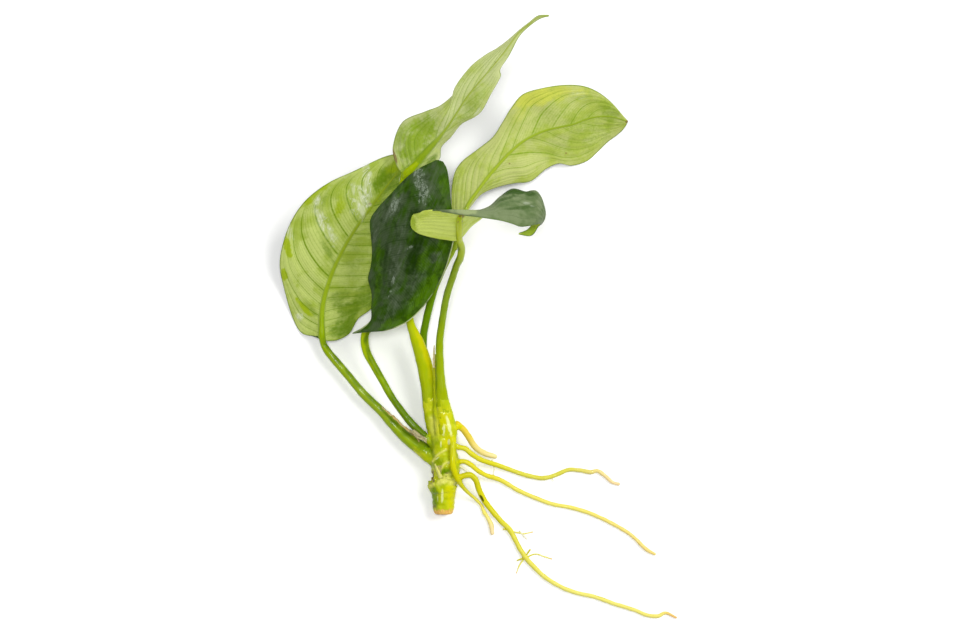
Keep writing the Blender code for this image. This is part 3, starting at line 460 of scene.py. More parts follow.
CURLED_WASHES = {
    "pale": (
        (-18, 38, 10, 5, 0, 1), (-2, 43, 12, 4, 5, 1), (12, 43, 9, 3, -10, 0.7),
        (18, 46.6, 6, 1.2, 5, 0.8),
    ),
    "deep": (
        (13.6, 51.4, 6, 2.2, 0, 1.3), (20, 35, 6, 2.6, 20, 0.75), (19.6, 50.6, 5, 1.4, -12, 0.7),
        (16, 44.8, 8, 0.9, 5, 0.6), (10, 48.4, 6, 0.8, 18, 0.6),
    ),
    "bright": (
        (-27, 39, 5, 2, 90, 1), (20, 35, 6, 2.6, 20, 0.4), (-24, 42, 5, 1.2, 0, 0.5),
        (-6, 43.6, 6, 1.6, 0, 1),
    ),
    "wet_and_glare": ((18.6, 46.6, 1.6, 0.5, -5, 0.8), (20.8, 45.4, 1.2, 0.5, -5, 0.7)),
    "brown": ((-7.4, 41.8, 1.2, 0.6, 0, 0.9),),
}
CROWN_WASHES = {
    "yellow": (
        (-11.2, -71, 6, 3, 90, 1), (-11.8, -49.5, 5, 3.6, 90, 1), (-14, -41, 6, 3.2, 85, 0.8),
        (-11, -57.5, 4, 2, 80, 0.5), (-8.2, -42.7, 2.4, 1.6, 0, 1.4), (-8, -51, 2, 1.4, 0, 0.9),
        (-7.6, -56.6, 2, 1.2, 0, 0.9), (-7.4, -62.6, 2, 1.4, 0, 0.9),
    ),
    # the deep spots are partly painted shade, in the hollows between the feet and on the rhizome's
    # left side
    "deep": (
        (-23, -50.2, 6, 2.6, -38, 0.9), (-17.6, -57.2, 3.6, 2.4, 30, 0.6),
        (-18.2, -70.8, 5.5, 1.9, 90, 0.9), (-13.4, -60.6, 3, 2, 0, 1.3),
        (-19, -49.6, 3.6, 2.4, 90, 0.5), (-26, -50.8, 5, 1.8, -40, 0.4),
        (-27.5, -46, 5, 1.3, -42, 0.8), (-20, -53.6, 3, 2, -40, 0.6),
        (-22.6, -46.2, 4, 2, -42, 1),
    ),
    "pale": (
        (-14.6, -64, 5, 1.8, 40, 0.9), (-10.8, -64.6, 2.4, 1.8, 0, 0.8),
        (-18.6, -66, 1.6, 1, 40, 0.8), (-18.6, -43, 5, 2, 95, 0.5),
    ),
    "brown": (
        (-18.9, -62.6, 3.2, 0.8, 88, 0.7), (-13.4, -61.4, 0.9, 0.4, 0, 0.6),
        (-18.6, -74.6, 1.2, 0.8, 0, 0.6), (-9.2, -55, 1.4, 0.5, 90, 0.4),
        (-17.8, -18, 5, 0.6, 90, 0.5),
    ),
    # painted highlights where the rhizome and the stalks' feet glisten
    "wet_and_glare": (
        (-15.6, -49.3, 1.7, 0.5, 90, 0.9), (-12.4, -48.8, 1.2, 0.5, 90, 0.9),
        (-14.6, -43.8, 3, 0.9, 85, 1), (-12.5, -42, 5, 0.8, -77, 0.95),
        (-15.1, -70, 3.2, 0.6, 88, 0.8), (-17, -71.5, 1.6, 0.4, 90, 0.6),
        (-17.2, -55.4, 1.6, 0.5, 40, 0.8), (-12, -57, 1.6, 0.7, 20, 0.6),
    ),
}
SHEATH_SPECKS = (
    (-23, -29, 2, 0.3, 100, 0.5), (-22.4, -34, 1.6, 0.3, 100, 0.5),
    (-21.4, -39, 1.6, 0.4, 100, 0.6),
)
CURLED_SPOTS = ((-8, 41.4, 1.2, 0.7, 0, 0.9), (-8.8, 39.2, 1, 0.4, 60, 0.6))

# the colours of the leaves' two sides
UNDERSIDE = dict(
    fresh=(0.36, 0.48, 0.03), pale=(0.51, 0.61, 0.14), deep=(0.12, 0.23, 0.0),
    bright=(0.37, 0.50, 0.0), vein_colour=(0.17, 0.29, 0.005),
    rib_colours=((0.27, 0.40, 0.0), (0.25, 0.35, 0.01)), margin_colour=(0.17, 0.27, 0.01),
)
UPPER_SIDE = dict(
    # pale is the dark face's painted grey sheen, and the glare colour the painted glare of its
    # water layer
    fresh=(0.030, 0.084, 0.0), pale=(0.068, 0.098, 0.047), deep=(0.009, 0.030, 0.0),
    bright=(0.075, 0.180, 0.0), vein_colour=(0.012, 0.040, 0.0),
    rib_colours=((0.018, 0.05, 0.0), (0.018, 0.05, 0.0)), margin_colour=(0.05, 0.12, 0.0),
    vein_strength=0.35, fine_strength=0.4, rib_strength=0.0, roughness=0.35,
    film_colour=(0.36, 0.43, 0.33), specular=0.03, cracks=0.95, net=0.0, streaks=0.9,
    lengthwise=(0.55, 0.08, 1.0), sheen_mottle=0.2, lace=0.15,
)
RIM_LINE = (0.60, 0.68, 0.34)
LEAF_BROWN = (0.24, 0.14, 0.05)

# a stalk's painted shade on its darker side (on the sheath, its yellow wing) and streaks, and its
# stops of colour from the blade, 0, to the crown, 1
STALK_PAINTED_SHADE = (0.09, 0.18, 0.0)
STALK_LOOKS = {
    "left_stalk": dict(shade=STALK_PAINTED_SHADE, light=(0.44, 0.54, 0.05), stops=(
        (0, (0.30, 0.45, 0)), (0.3, (0.30, 0.44, 0)), (0.6, (0.28, 0.40, 0.01)),
        (1, (0.29, 0.42, 0)),
    )),
    "dark_stalk": dict(shade=STALK_PAINTED_SHADE, light=(0.36, 0.47, 0.04), stops=(
        (0, (0.20, 0.32, 0.01)), (0.46, (0.50, 0.66, 0)), (0.6, (0.42, 0.56, 0)),
        (0.74, (0.26, 0.40, 0)), (0.86, (0.13, 0.24, 0)), (1, (0.08, 0.15, 0)),
    )),
    "right_stalk": dict(shade=STALK_PAINTED_SHADE, light=(0.20, 0.34, 0.01), stops=(
        (0, (0.36, 0.48, 0.03)), (0.3, (0.34, 0.47, 0.02)), (0.4, (0.24, 0.38, 0)),
        (0.5, (0.14, 0.28, 0)), (0.7, (0.13, 0.26, 0)), (1, (0.20, 0.31, 0)),
    )),
    "curled_stalk": dict(shade=(0.11, 0.20, 0), light=(0.46, 0.56, 0.08), wet_and_glare=0.7, stops=(
        (0, (0.42, 0.52, 0)), (0.18, (0.55, 0.65, 0.02)), (0.3, (0.44, 0.56, 0.02)),
        (0.42, (0.27, 0.39, 0.01)), (0.6, (0.23, 0.35, 0.01)), (0.7, (0.27, 0.38, 0)),
        (0.78, (0.31, 0.41, 0)), (0.88, (0.33, 0.42, 0)), (1, (0.52, 0.57, 0)),
    )),
    "sheath": dict(shade=(0.63, 0.60, 0), light=(0.56, 0.60, 0.03), wet_and_glare=0.6, stops=(
        (0, (0.30, 0.43, 0)), (0.5, (0.40, 0.51, 0)), (0.62, (0.46, 0.55, 0)),
        (0.76, (0.38, 0.48, 0)), (0.88, (0.34, 0.44, 0)), (1, (0.45, 0.50, 0.02)),
    )),
}

# the colours along each root, from the rhizome, 0, to the tip, 1
ROOT_LOOKS = {
    "short": (
        (0, (0.74, 0.57, 0.01)), (0.4, (0.82, 0.62, 0.06)), (0.7, (0.86, 0.71, 0.24)),
        (1, (0.89, 0.76, 0.34)),
    ),
    "upper": (
        (0, (0.62, 0.61, 0)), (0.2, (0.70, 0.66, 0.01)), (0.6, (0.71, 0.67, 0.08)),
        (1, (0.93, 0.70, 0.36)),
    ),
    "middle": (
        (0, (0.62, 0.58, 0)), (0.2, (0.76, 0.69, 0.01)), (0.6, (0.86, 0.77, 0.14)),
        (1, (0.90, 0.69, 0.22)),
    ),
    "long": (
        (0, (0.70, 0.61, 0.01)), (0.1, (0.58, 0.56, 0)), (0.3, (0.68, 0.64, 0.01)),
        (0.7, (0.86, 0.79, 0.18)), (0.92, (0.86, 0.76, 0.18)), (1, (0.85, 0.50, 0.17)),
    ),
    "front": (
        (0, (0.56, 0.59, 0)), (0.4, (0.64, 0.62, 0)), (0.75, (0.90, 0.80, 0.16)),
        (1, (0.95, 0.76, 0.40)),
    ),
    "white": ((0, (0.80, 0.78, 0.45)), (1, (0.92, 0.88, 0.72))),
}


# shapes

def in_frame(points):
    """Sketch millimetres to metres: x and y shrink by the share z / EYE_HEIGHT, and the
    plant's centre becomes zero."""
    points = np.array(points, float)
    points[..., :2] *= 1 - points[..., 2:] / EYE_HEIGHT
    return (points - PLANT_CENTRE) * MM


def through(rows, count):
    """Reads a Catmull-Rom curve through the rows at count even steps, on every column."""
    rows = np.asarray(rows, float)
    rows = np.concatenate([2 * rows[:1] - rows[1:2], rows, 2 * rows[-1:] - rows[-2:-1]])
    at = np.linspace(0, len(rows) - 3, count)
    start = np.minimum(at.astype(int), len(rows) - 4)
    part = (at - start).reshape(-1, *[1] * (rows.ndim - 1))
    a, b, c, d = (rows[start + step] for step in range(4))
    cubic = 3 * (b - c) + d - a
    square = 2 * a - 5 * b + 4 * c - d
    return b + part / 2 * (c - a + part * (square + part * cubic))


def bow(start, control, end, share):
    """The quadratic curve from start to end that bends towards its control point."""
    return start * (1 - share) ** 2 + control * 2 * share * (1 - share) + end * share**2


def unit(vectors):
    """Each vector divided by its length."""
    return vectors / np.maximum(np.linalg.norm(vectors, axis=-1, keepdims=True), 1e-9)


def ease(value, low, high):
    """0 up to low, 1 from high on, and the smooth cubic 3s^2 - 2s^3 between them."""
    share = np.clip((value - low) / (high - low), 0, 1)
    return share * share * (3 - 2 * share)


def ripple(points, size, seed):
    """Uneven waves of about the given size in mm, between -1 and 1: the mean of sines
    along random directions, each with its own length and phase."""
    random = np.random.default_rng(seed)
    waves = 14
    directions = unit(random.normal(size=(waves, 3)))
    directions = directions / (size * random.uniform(0.7, 1.6, (waves, 1)))
    phases = random.uniform(0, 2 * np.pi, waves)
    total = np.sin(points @ (2 * np.pi * directions.T) + phases).sum(axis=-1)
    return np.clip(total / np.sqrt(waves) / 1.4, -1, 1)


def blots(points, spots, seed):
    """The strongest of several soft ellipses at each point, seen from above.

    A spot is its middle x and y, its half length, its half width, the turn of its length
    in degrees and its strength. Its rim is blurred, and made uneven by a ripple.
    """
    total = np.zeros(points.shape[:-1])
    wobble = 0.22 * ripple(points, 5.0, seed) + 0.12 * ripple(points, 1.8, seed + 1)
    for x, y, long, wide, turn, strength in spots:
        angle = np.radians(turn)
        dx, dy = points[..., 0] - x, points[..., 1] - y
        far = (dx * np.cos(angle) + dy * np.sin(angle)) / long
        off = (dy * np.cos(angle) - dx * np.sin(angle)) / wide
        total = np.maximum(total, strength * (1 - ease(np.hypot(far, off) + wobble, 0.3, 1.3)))
    return total


def washed(points, washes, seed):
    """A field for each of the washes, each made uneven by a seed of its own."""
    return {field: blots(points, spots, seed + number)
            for number, (field, spots) in enumerate(washes.items())}


def ribbed_sheet(stations, rows=LEAF_ROWS, half=LEAF_HALF_COLUMNS):
    """A blade's middle surface: ribs from the midrib to each margin.

    Each rib is a quadratic curve from the midrib to the margin. Its middle control point
    lies between the chord's middle and the foot, the point straight out from the midrib
    that is level with the margin.
    """
    ribs = through(stations, rows)
    midrib = ribs[:, 1]
    along = np.gradient(midrib[:, :2], axis=0)
    side = unit(np.stack([-along[:, 1], along[:, 0], np.zeros(rows)], axis=1))
    share = np.linspace(0, 1, half + 1)[:, None, None]
    halves = []
    for margin in (ribs[:, 0], ribs[:, 2]):
        out = ((margin - midrib) * side).sum(axis=1, keepdims=True)
        foot = midrib + side * out
        foot[:, 2] = margin[:, 2]
        control = (midrib + margin) / 2 * (1 - VEIN_BEND) + foot * VEIN_BEND
        halves.append(bow(midrib, control, margin, share))
    left, right = halves
    return np.concatenate([left[::-1], right[1:]]).transpose(1, 0, 2)


def folded_sheet(stations, rows=LEAF_ROWS, half=LEAF_HALF_COLUMNS):
    """The curled blade's middle surface: ribs from the back margin over the fold to the
    front margin. Each is a quadratic curve that touches the fold's line on its outer
    side: where the margins lie at b and t and the fold at m on the way out, its middle
    control point lies at m + sqrt((m - b) (m - t))."""
    ribs = through(stations, rows)
    back, fold, front = ribs[:, 0], ribs[:, 1], ribs[:, 2]
    bulge = fold - (back + front) / 2
    out = unit(bulge * (1.0, 1.0, 0.0))
    to_back, to_front = (
        np.maximum(((fold - margin) * out).sum(axis=1, keepdims=True), 0)
        for margin in (back, front)
    )
    control = fold + bulge + out * (np.sqrt(to_back * to_front) - (to_back + to_front) / 2)
    share = np.linspace(0, 1, 2 * half + 1)[:, None, None]
    return bow(back, control, front, share).transpose(1, 0, 2)


def across_from(sheet, column):
    """How far each point lies from the given column of its rib, in mm, with a sign."""
    sign = np.sign(np.arange(sheet.shape[1]) - column)
    return np.linalg.norm(sheet - sheet[:, column : column + 1], axis=-1) * sign


def to_margin(sheet):
    """How far each point lies from the nearer end of its rib, measured along the rib."""
    steps = np.linalg.norm(np.diff(sheet, axis=1), axis=-1)
    run = np.concatenate([np.zeros((len(sheet), 1)), np.cumsum(steps, axis=1)], axis=1)
    return np.minimum(run, run[:, -1:] - run)


def facing(sheet):
    """The unit normal on the side where a step across and then along turns anticlockwise."""
    return unit(np.cross(np.gradient(sheet, axis=1), np.gradient(sheet, axis=0)))


def quads_of(index):
    """A grid of point numbers as quads, facing the side of facing()."""
    corners = [index[:-1, :-1], index[:-1, 1:], index[1:, 1:], index[1:, :-1]]
    return np.stack(corners, axis=-1).reshape(-1, 4)


def placed(name, data):
    """A new object of the scene."""
    piece = bpy.data.objects.new(name, data)
    bpy.context.scene.collection.objects.link(piece)
    return piece


def add_piece(name, points, faces, fields, finishes, picks=None):
    """Puts sketch points and faces into a mesh object with its fields and finishes."""
    points = np.array(points, float)
    points[:, 2] = np.maximum(points[:, 2], LOWEST)
    mesh = bpy.data.meshes.new(name)
    mesh.from_pydata(in_frame(points).tolist(), [], faces)
    mesh.shade_smooth()
    for field, values in fields.items():
        values = np.asarray(values, float)
        vector = values.ndim == 2
        layer = mesh.attributes.new(field, "FLOAT_VECTOR" if vector else "FLOAT", "POINT")
        layer.data.foreach_set("vector" if vector else "value", values.ravel())
    for finish in finishes:
        mesh.materials.append(finish)
    if picks is not None:
        mesh.polygons.foreach_set("material_index", np.asarray(picks, np.int32))
    return placed(name, mesh)


def shell(name, plus, minus, fields, finishes):
    """A closed thin shell between two grids: plus on the side of facing(), minus behind.

    Its first finish is for plus and the rim, its second for minus.
    """
    rows, columns, _ = plus.shape
    front = np.arange(rows * columns).reshape(rows, columns)
    back = front + rows * columns
    rims = [
        np.stack([front[:-1, 0], front[1:, 0], back[1:, 0], back[:-1, 0]], axis=-1),
        np.stack([back[:-1, -1], back[1:, -1], front[1:, -1], front[:-1, -1]], axis=-1),
        np.stack([front[0, :-1], back[0, :-1], back[0, 1:], front[0, 1:]], axis=-1),
        np.stack([front[-1, :-1], front[-1, 1:], back[-1, 1:], back[-1, :-1]], axis=-1),
    ]
    near, far = quads_of(front), quads_of(back)[:, ::-1]
    faces = np.concatenate([near, *rims, far])
    picks = np.where(np.arange(len(faces)) < len(faces) - len(far), 0, 1)
    points = np.concatenate([plus.reshape(-1, 3), minus.reshape(-1, 3)])
    both = {field: np.concatenate([values.reshape(rows * columns, *values.shape[2:])] * 2)
            for field, values in fields.items()}
    return add_piece(name, points, faces.tolist(), both, finishes, picks)


def vein_number(sheet, feet, sweep):
    """Counts the side veins along the blade: whole numbers lie on a vein.

    A vein that leaves the midrib at the share f of its length has climbed to the share
    f + sweep * (s + s^5) where it is the share s of the way to the margin. feet holds the
    places f on the left and on the right side; the right side counts on from 20.
    """
    rows, columns, _ = sheet.shape
    along = np.linspace(0, 1, rows)[:, None]
    across = np.linspace(-1, 1, columns)[None, :]
    foot = along - sweep * (np.abs(across) + np.abs(across) ** 5)
    numbers = []
    for places in feet:
        places = np.array([places[0] - 0.6, *places, places[-1] + 0.4])
        count = np.arange(len(places), dtype=float)
        count[0] = -6.0
        count[-1] += 3.0
        numbers.append(np.interp(foot, places, count))
    left, right = numbers
    return np.where(across <= 0, left, right + 20)


def near_whole(number):
    """How far a number is from a whole one, 0 to 0.5."""
    return np.abs(number - np.round(number))


def half_thickness(edge):
    """Half a blade's thickness: a quarter of it at the edge, all of it 1 mm further in."""
    return LEAF_THICKNESS / 2 * (0.25 + 0.75 * ease(edge, 0.0, 1.0))


def leaf(node, slot, stations, feet, washes, finishes, sweep, rib_width, rib_height,
         underside_up=True):
    """A flat blade with a raised midrib and side veins on its underside.

    The middle surface is lifted between the veins by a cosine of the vein number and by
    broad ripples. The underside adds the midrib, a bell curve of the distance from it,
    and thinner bell curves over the veins. The upper side sinks by a third of that. The
    first finish is for the side that faces up. sweep tells how far the veins climb, and
    rib_width is the midrib's at RIB_PLACES, in mm.
    """
    sheet = ribbed_sheet(stations)
    rows, columns, _ = sheet.shape
    normal = facing(sheet)
    side = np.sign(normal[..., 2].mean()) * (1 if underside_up else -1)
    along = np.linspace(0, 1, rows)[:, None] * np.ones((1, columns))
    across = across_from(sheet, columns // 2)
    edge = to_margin(sheet)
    vein = vein_number(sheet, feet, sweep)
    rib = np.abs(across) / np.interp(along, RIB_PLACES, rib_width)
    inner = ease(edge, 0.0, 4.0) * ease(np.abs(across), 0.5, 3.0)
    quilt = -np.cos(2 * np.pi * vein) * inner
    waves = ripple(sheet, 16.0, 11) * 0.35 + ripple(sheet, 7.0, 12) * 0.12
    middle = sheet + normal * (QUILT_HEIGHT * quilt + waves * inner)[..., None] * side
    vein_ridge = VEIN_HEIGHT * np.exp(-((near_whole(vein) / 0.09) ** 2)) * inner
    midrib = np.interp(along, (0, 1), rib_height) * np.exp(-(rib**2) * 1.6) * ease(edge, 0.0, 1.2)
    fields = {
        "along": along, "edge": edge, "rib": rib, "vein": vein,
        "grain": np.stack([across, along * 80.0, 0 * along], axis=-1),
    }
    for field in ("pale", "deep", "bright", "wet_and_glare", "brown", "rim"):
        fields[field] = blots(sheet, washes.get(field, ()), 31 if field == "wet_and_glare" else 41)
    crinkle = CRINKLE_HEIGHT * fields["wet_and_glare"] * ripple(sheet, 1.6, 13) * ripple(sheet, 3.1, 14)
    body = half_thickness(edge)
    under = middle + normal * (side * (body + vein_ridge + midrib + crinkle))[..., None]
    upper = middle - normal * (side * (body - (vein_ridge + midrib) / 3 + crinkle))[..., None]
    plus, minus = (under, upper) if side > 0 else (upper, under)
    pair = finishes if (side > 0) == underside_up else finishes[::-1]
    carried(shell(f"{node}_blade", plus, minus, fields, pair), slot, node)


def rings(rows, steps, sides, dome):
    """Rings round a stem, row by row: centre, then half width (and half height).

    A point of a ring is the path's point plus the sideways vector times half width times
    the angle's cosine plus the upward vector times half height times its sine. Each end
    is closed by ever smaller rings on a dome as high as dome times the ring's size.
    """
    rows = through(rows, steps)
    path, width, height = rows[:, :3], rows[:, 3:4], rows[:, -1:]
    way = unit(np.gradient(path, axis=0))
    side = unit(np.cross(way, (0.0, 0.0, 1.0)))
    top = np.cross(side, way)
    turn = np.linspace(0, 2 * np.pi, sides, endpoint=False)
    spokes = (side * width)[:, None] * np.cos(turn)[:, None]
    spokes = spokes + (top * height)[:, None] * np.sin(turn)[:, None]
    lift = np.radians(CAP_ANGLES)[:, None]
    first = path[0] - way[0] * width[0] * dome[0] * np.sin(lift[::-1])
    last = path[-1] + way[-1] * width[-1] * dome[1] * np.sin(lift)
    centres = np.concatenate([first, path, last])
    spokes = np.concatenate([
        spokes[0] * np.cos(lift[::-1])[..., None], spokes, spokes[-1] * np.cos(lift)[..., None]])
    poles = np.stack([path[0] - way[0] * width[0] * dome[0],
                      path[-1] + way[-1] * width[-1] * dome[1]])
    return centres, spokes, poles, turn


def stem_faces(count, sides):
    """The faces of count rings of points, closed by a fan to a pole at each end."""
    index = np.arange(count * sides).reshape(count, sides)
    wrapped = np.concatenate([index, index[:, :1]], axis=1)
    foot, tip = np.full(sides, count * sides), np.full(sides, count * sides + 1)
    caps = np.concatenate([
        np.stack([foot, wrapped[0, 1:], wrapped[0, :-1]], axis=-1),
        np.stack([tip, wrapped[-1, :-1], wrapped[-1, 1:]], axis=-1)])
    return quads_of(wrapped)[:, ::-1].tolist() + caps.tolist()


def stem(name, rows, steps, sides, finish, relief, colouring):
    """A closed stem. relief(points) gives how far its skin stands out in mm;
    colouring(share, turn, points) gives the fields that its finish reads."""
    centres, spokes, poles, turn = rings(rows, steps, sides, dome=(1.0, 1.0))
    count, caps = len(centres), len(CAP_ANGLES)
    share = np.clip((np.arange(count) - caps) / (count - 2 * caps - 1), 0, 1)
    share = share[:, None] * np.ones((1, sides))
    angle = np.ones((count, 1)) * turn
    points = centres[:, None] + spokes
    points = points + unit(spokes) * relief(points)[..., None]
    steps = np.linalg.norm(np.diff(centres, axis=0), axis=1)
    run = np.concatenate([[0], np.cumsum(steps)])[:, None] * np.ones(sides)
    reach = np.linalg.norm(spokes, axis=-1)
    fields = {
        "along": share,
        "grain": np.stack([reach * np.cos(angle), reach * np.sin(angle), run], axis=-1),
        **colouring(share, angle, points),
    }
    joined = {}
    for field, values in fields.items():
        ends = np.stack([values[0].mean(axis=0), values[-1].mean(axis=0)])
        joined[field] = np.concatenate([values.reshape(count * sides, *values.shape[2:]), ends])
    cloud = np.concatenate([points.reshape(-1, 3), poles])
    return add_piece(name, cloud, stem_faces(count, sides), joined, [finish])


def grown_together(stems):
    """Joins overlapping stems into one skin: all of them as closed lofts, remeshed with
    voxels and softened, so that each junction becomes a hollow curve. Gives the skin's
    points, their normals and its faces."""
    clouds, faces, base = [], [], 0
    for rows in stems:
        steps = CROWN_STEPS_PER_ROW * len(rows)
        centres, spokes, poles, _ = rings(rows, steps, CROWN_SIDES, dome=(0.12, 0.25))
        clouds += [(centres[:, None] + spokes).reshape(-1, 3), poles]
        faces += [[base + corner for corner in face]
                  for face in stem_faces(len(centres), CROWN_SIDES)]
        base += len(centres) * CROWN_SIDES + len(poles)
    raw = bpy.data.meshes.new("raw_skin")
    raw.from_pydata(np.concatenate(clouds).tolist(), [], faces)
    helper = placed("raw_skin", raw)
    remesh = helper.modifiers.new("one skin", "REMESH")
    remesh.mode = "VOXEL"
    remesh.voxel_size = VOXEL
    soften = helper.modifiers.new("soften", "SMOOTH")
    soften.factor, soften.iterations = 0.5, SMOOTHINGS
    solved = helper.evaluated_get(bpy.context.evaluated_depsgraph_get())
    mesh = bpy.data.meshes.new_from_object(solved)
    bpy.data.objects.remove(helper)
    points, normals = (np.empty(3 * len(mesh.vertices)) for _ in range(2))
    mesh.vertices.foreach_get("co", points)
    mesh.vertices.foreach_get("normal", normals)
    corners = np.empty(len(mesh.loops), np.int32)
    mesh.loops.foreach_get("vertex_index", corners)
    starts = np.empty(len(mesh.polygons), np.int32)
    mesh.polygons.foreach_get("loop_start", starts)
    faces = [face.tolist() for face in np.split(corners, starts[1:])]
    return points.reshape(-1, 3), normals.reshape(-1, 3), faces


# shaders

class Value:
    """A shader socket used as a number: each operation on it adds a Math node."""

    def __init__(self, finish, socket):
        self.finish, self.socket = finish, socket

    def math(self, operation, *others):
        inputs = dict(enumerate((self, *others)))
        return self.finish.node("ShaderNodeMath", {"operation": operation}, inputs)

    def __add__(self, other):
        return self.math("ADD", other)

    def __sub__(self, other):
        return self.math("SUBTRACT", other)

    def __rsub__(self, other):
        return self.math("MULTIPLY", -1.0) + other

    def __mul__(self, other):
        return self.math("MULTIPLY", other)

    __radd__ = __add__
    __rmul__ = __mul__

    def size(self):
        return self.math("ABSOLUTE")

    def off_whole(self):
        """How far the number is from a whole one, 0 to 0.5."""
        return (self - self.math("ROUND")).size()


class Finish:
    """One material while it is being made."""

    def __init__(self, name):
        self.material = bpy.data.materials.new(name)
        self.material.use_nodes = True
        self.tree = self.material.node_tree
        self.shader = self.tree.nodes["Principled BSDF"]
        self.base = None

    def node(self, kind, settings=None, inputs=None, output=0):
        """Adds a node: its settings first, then its sockets' values or links."""
        node = self.tree.nodes.new(kind)
        for setting, value in (settings or {}).items():
            setattr(node, setting, value)
        for socket, value in (inputs or {}).items():
            self.feed(node.inputs[socket], value)
        return Value(self, node.outputs[output])

    def feed(self, socket, value):
        if isinstance(value, Value):
            self.tree.links.new(value.socket, socket)
        else:
            socket.default_value = value

    def field(self, name, output="Fac"):
        return self.node("ShaderNodeAttribute", {"attribute_name": name}, output=output)

    def place(self):
        """The point's place on the plant in mm."""
        spot = self.node("ShaderNodeTexCoord", output="Object")
        inputs = {0: spot, "Scale": 1 / MM}
        return self.node("ShaderNodeVectorMath", {"operation": "SCALE"}, inputs)

    def stretched(self, vector, scale):
        return self.node("ShaderNodeVectorMath", {"operation": "MULTIPLY"}, {0: vector, 1: scale})

    def combined(self, x, y, z=0.0):
        return self.node("ShaderNodeCombineXYZ", None, {"X": x, "Y": y, "Z": z})

    def noise(self, vector, scale, detail=3.0, roughness=0.55, distortion=0.0):
        inputs = {"Vector": vector, "Scale": scale, "Detail": detail, "Roughness": roughness,
                  "Distortion": distortion}
        return self.node("ShaderNodeTexNoise", None, inputs)

    def grainy(self, stretch, scale, detail, roughness=0.55):
        """Noise along the piece's own grain: across, along or round it, in mm."""
        vector = self.stretched(self.field("grain", "Vector"), stretch)
        return self.noise(vector, scale, detail, roughness)

    def step(self, value, low, high):
        """0 up to low, 1 from high on, smooth between."""
        inputs = {"Value": value, "From Min": low, "From Max": high}
        return self.node("ShaderNodeMapRange", {"interpolation_type": "SMOOTHSTEP"}, inputs)

    def lines(self, distance, thin, wide):
        """1 where the distance from a line is up to thin, 0 from wide on."""
        return 1 - self.step(distance, thin, wide)

    def mix(self, share, first, second):
        inputs = {0: share, 6: self.colour(first), 7: self.colour(second)}
        return self.node("ShaderNodeMix", {"data_type": "RGBA"}, inputs, 2)

    @staticmethod
    def colour(value):
        """A colour is written as it looks in the studio, so the light's share comes off."""
        return value if isinstance(value, Value) else (*np.divide(value, STUDIO_LIGHT), 1.0)

    def ramp(self, value, stops):
        """Colours between (place, colour) stops, mixed one after the other."""
        (start, shade), *rest = stops
        for place, colour in rest:
            shade = self.mix(self.step(value, start, place), shade, colour)
            start = place
        return shade

    def paint(self, share, colour):
        """Lays one more colour over the base, as thick as the share."""
        self.base = self.mix(share, self.base, colour)

    def bump(self, height, distance, strength):
        inputs = {"Height": height, "Distance": distance, "Strength": strength}
        return self.node("ShaderNodeBump", None, inputs)

    def done(self, **sockets):
        """Feeds the base and the shader's other sockets, named with _ for a space, and gives
        the material."""
        for socket, value in {"Base_Color": self.base, **sockets}.items():
            self.feed(self.shader.inputs[socket.replace("_", " ")], value)
        return self.material


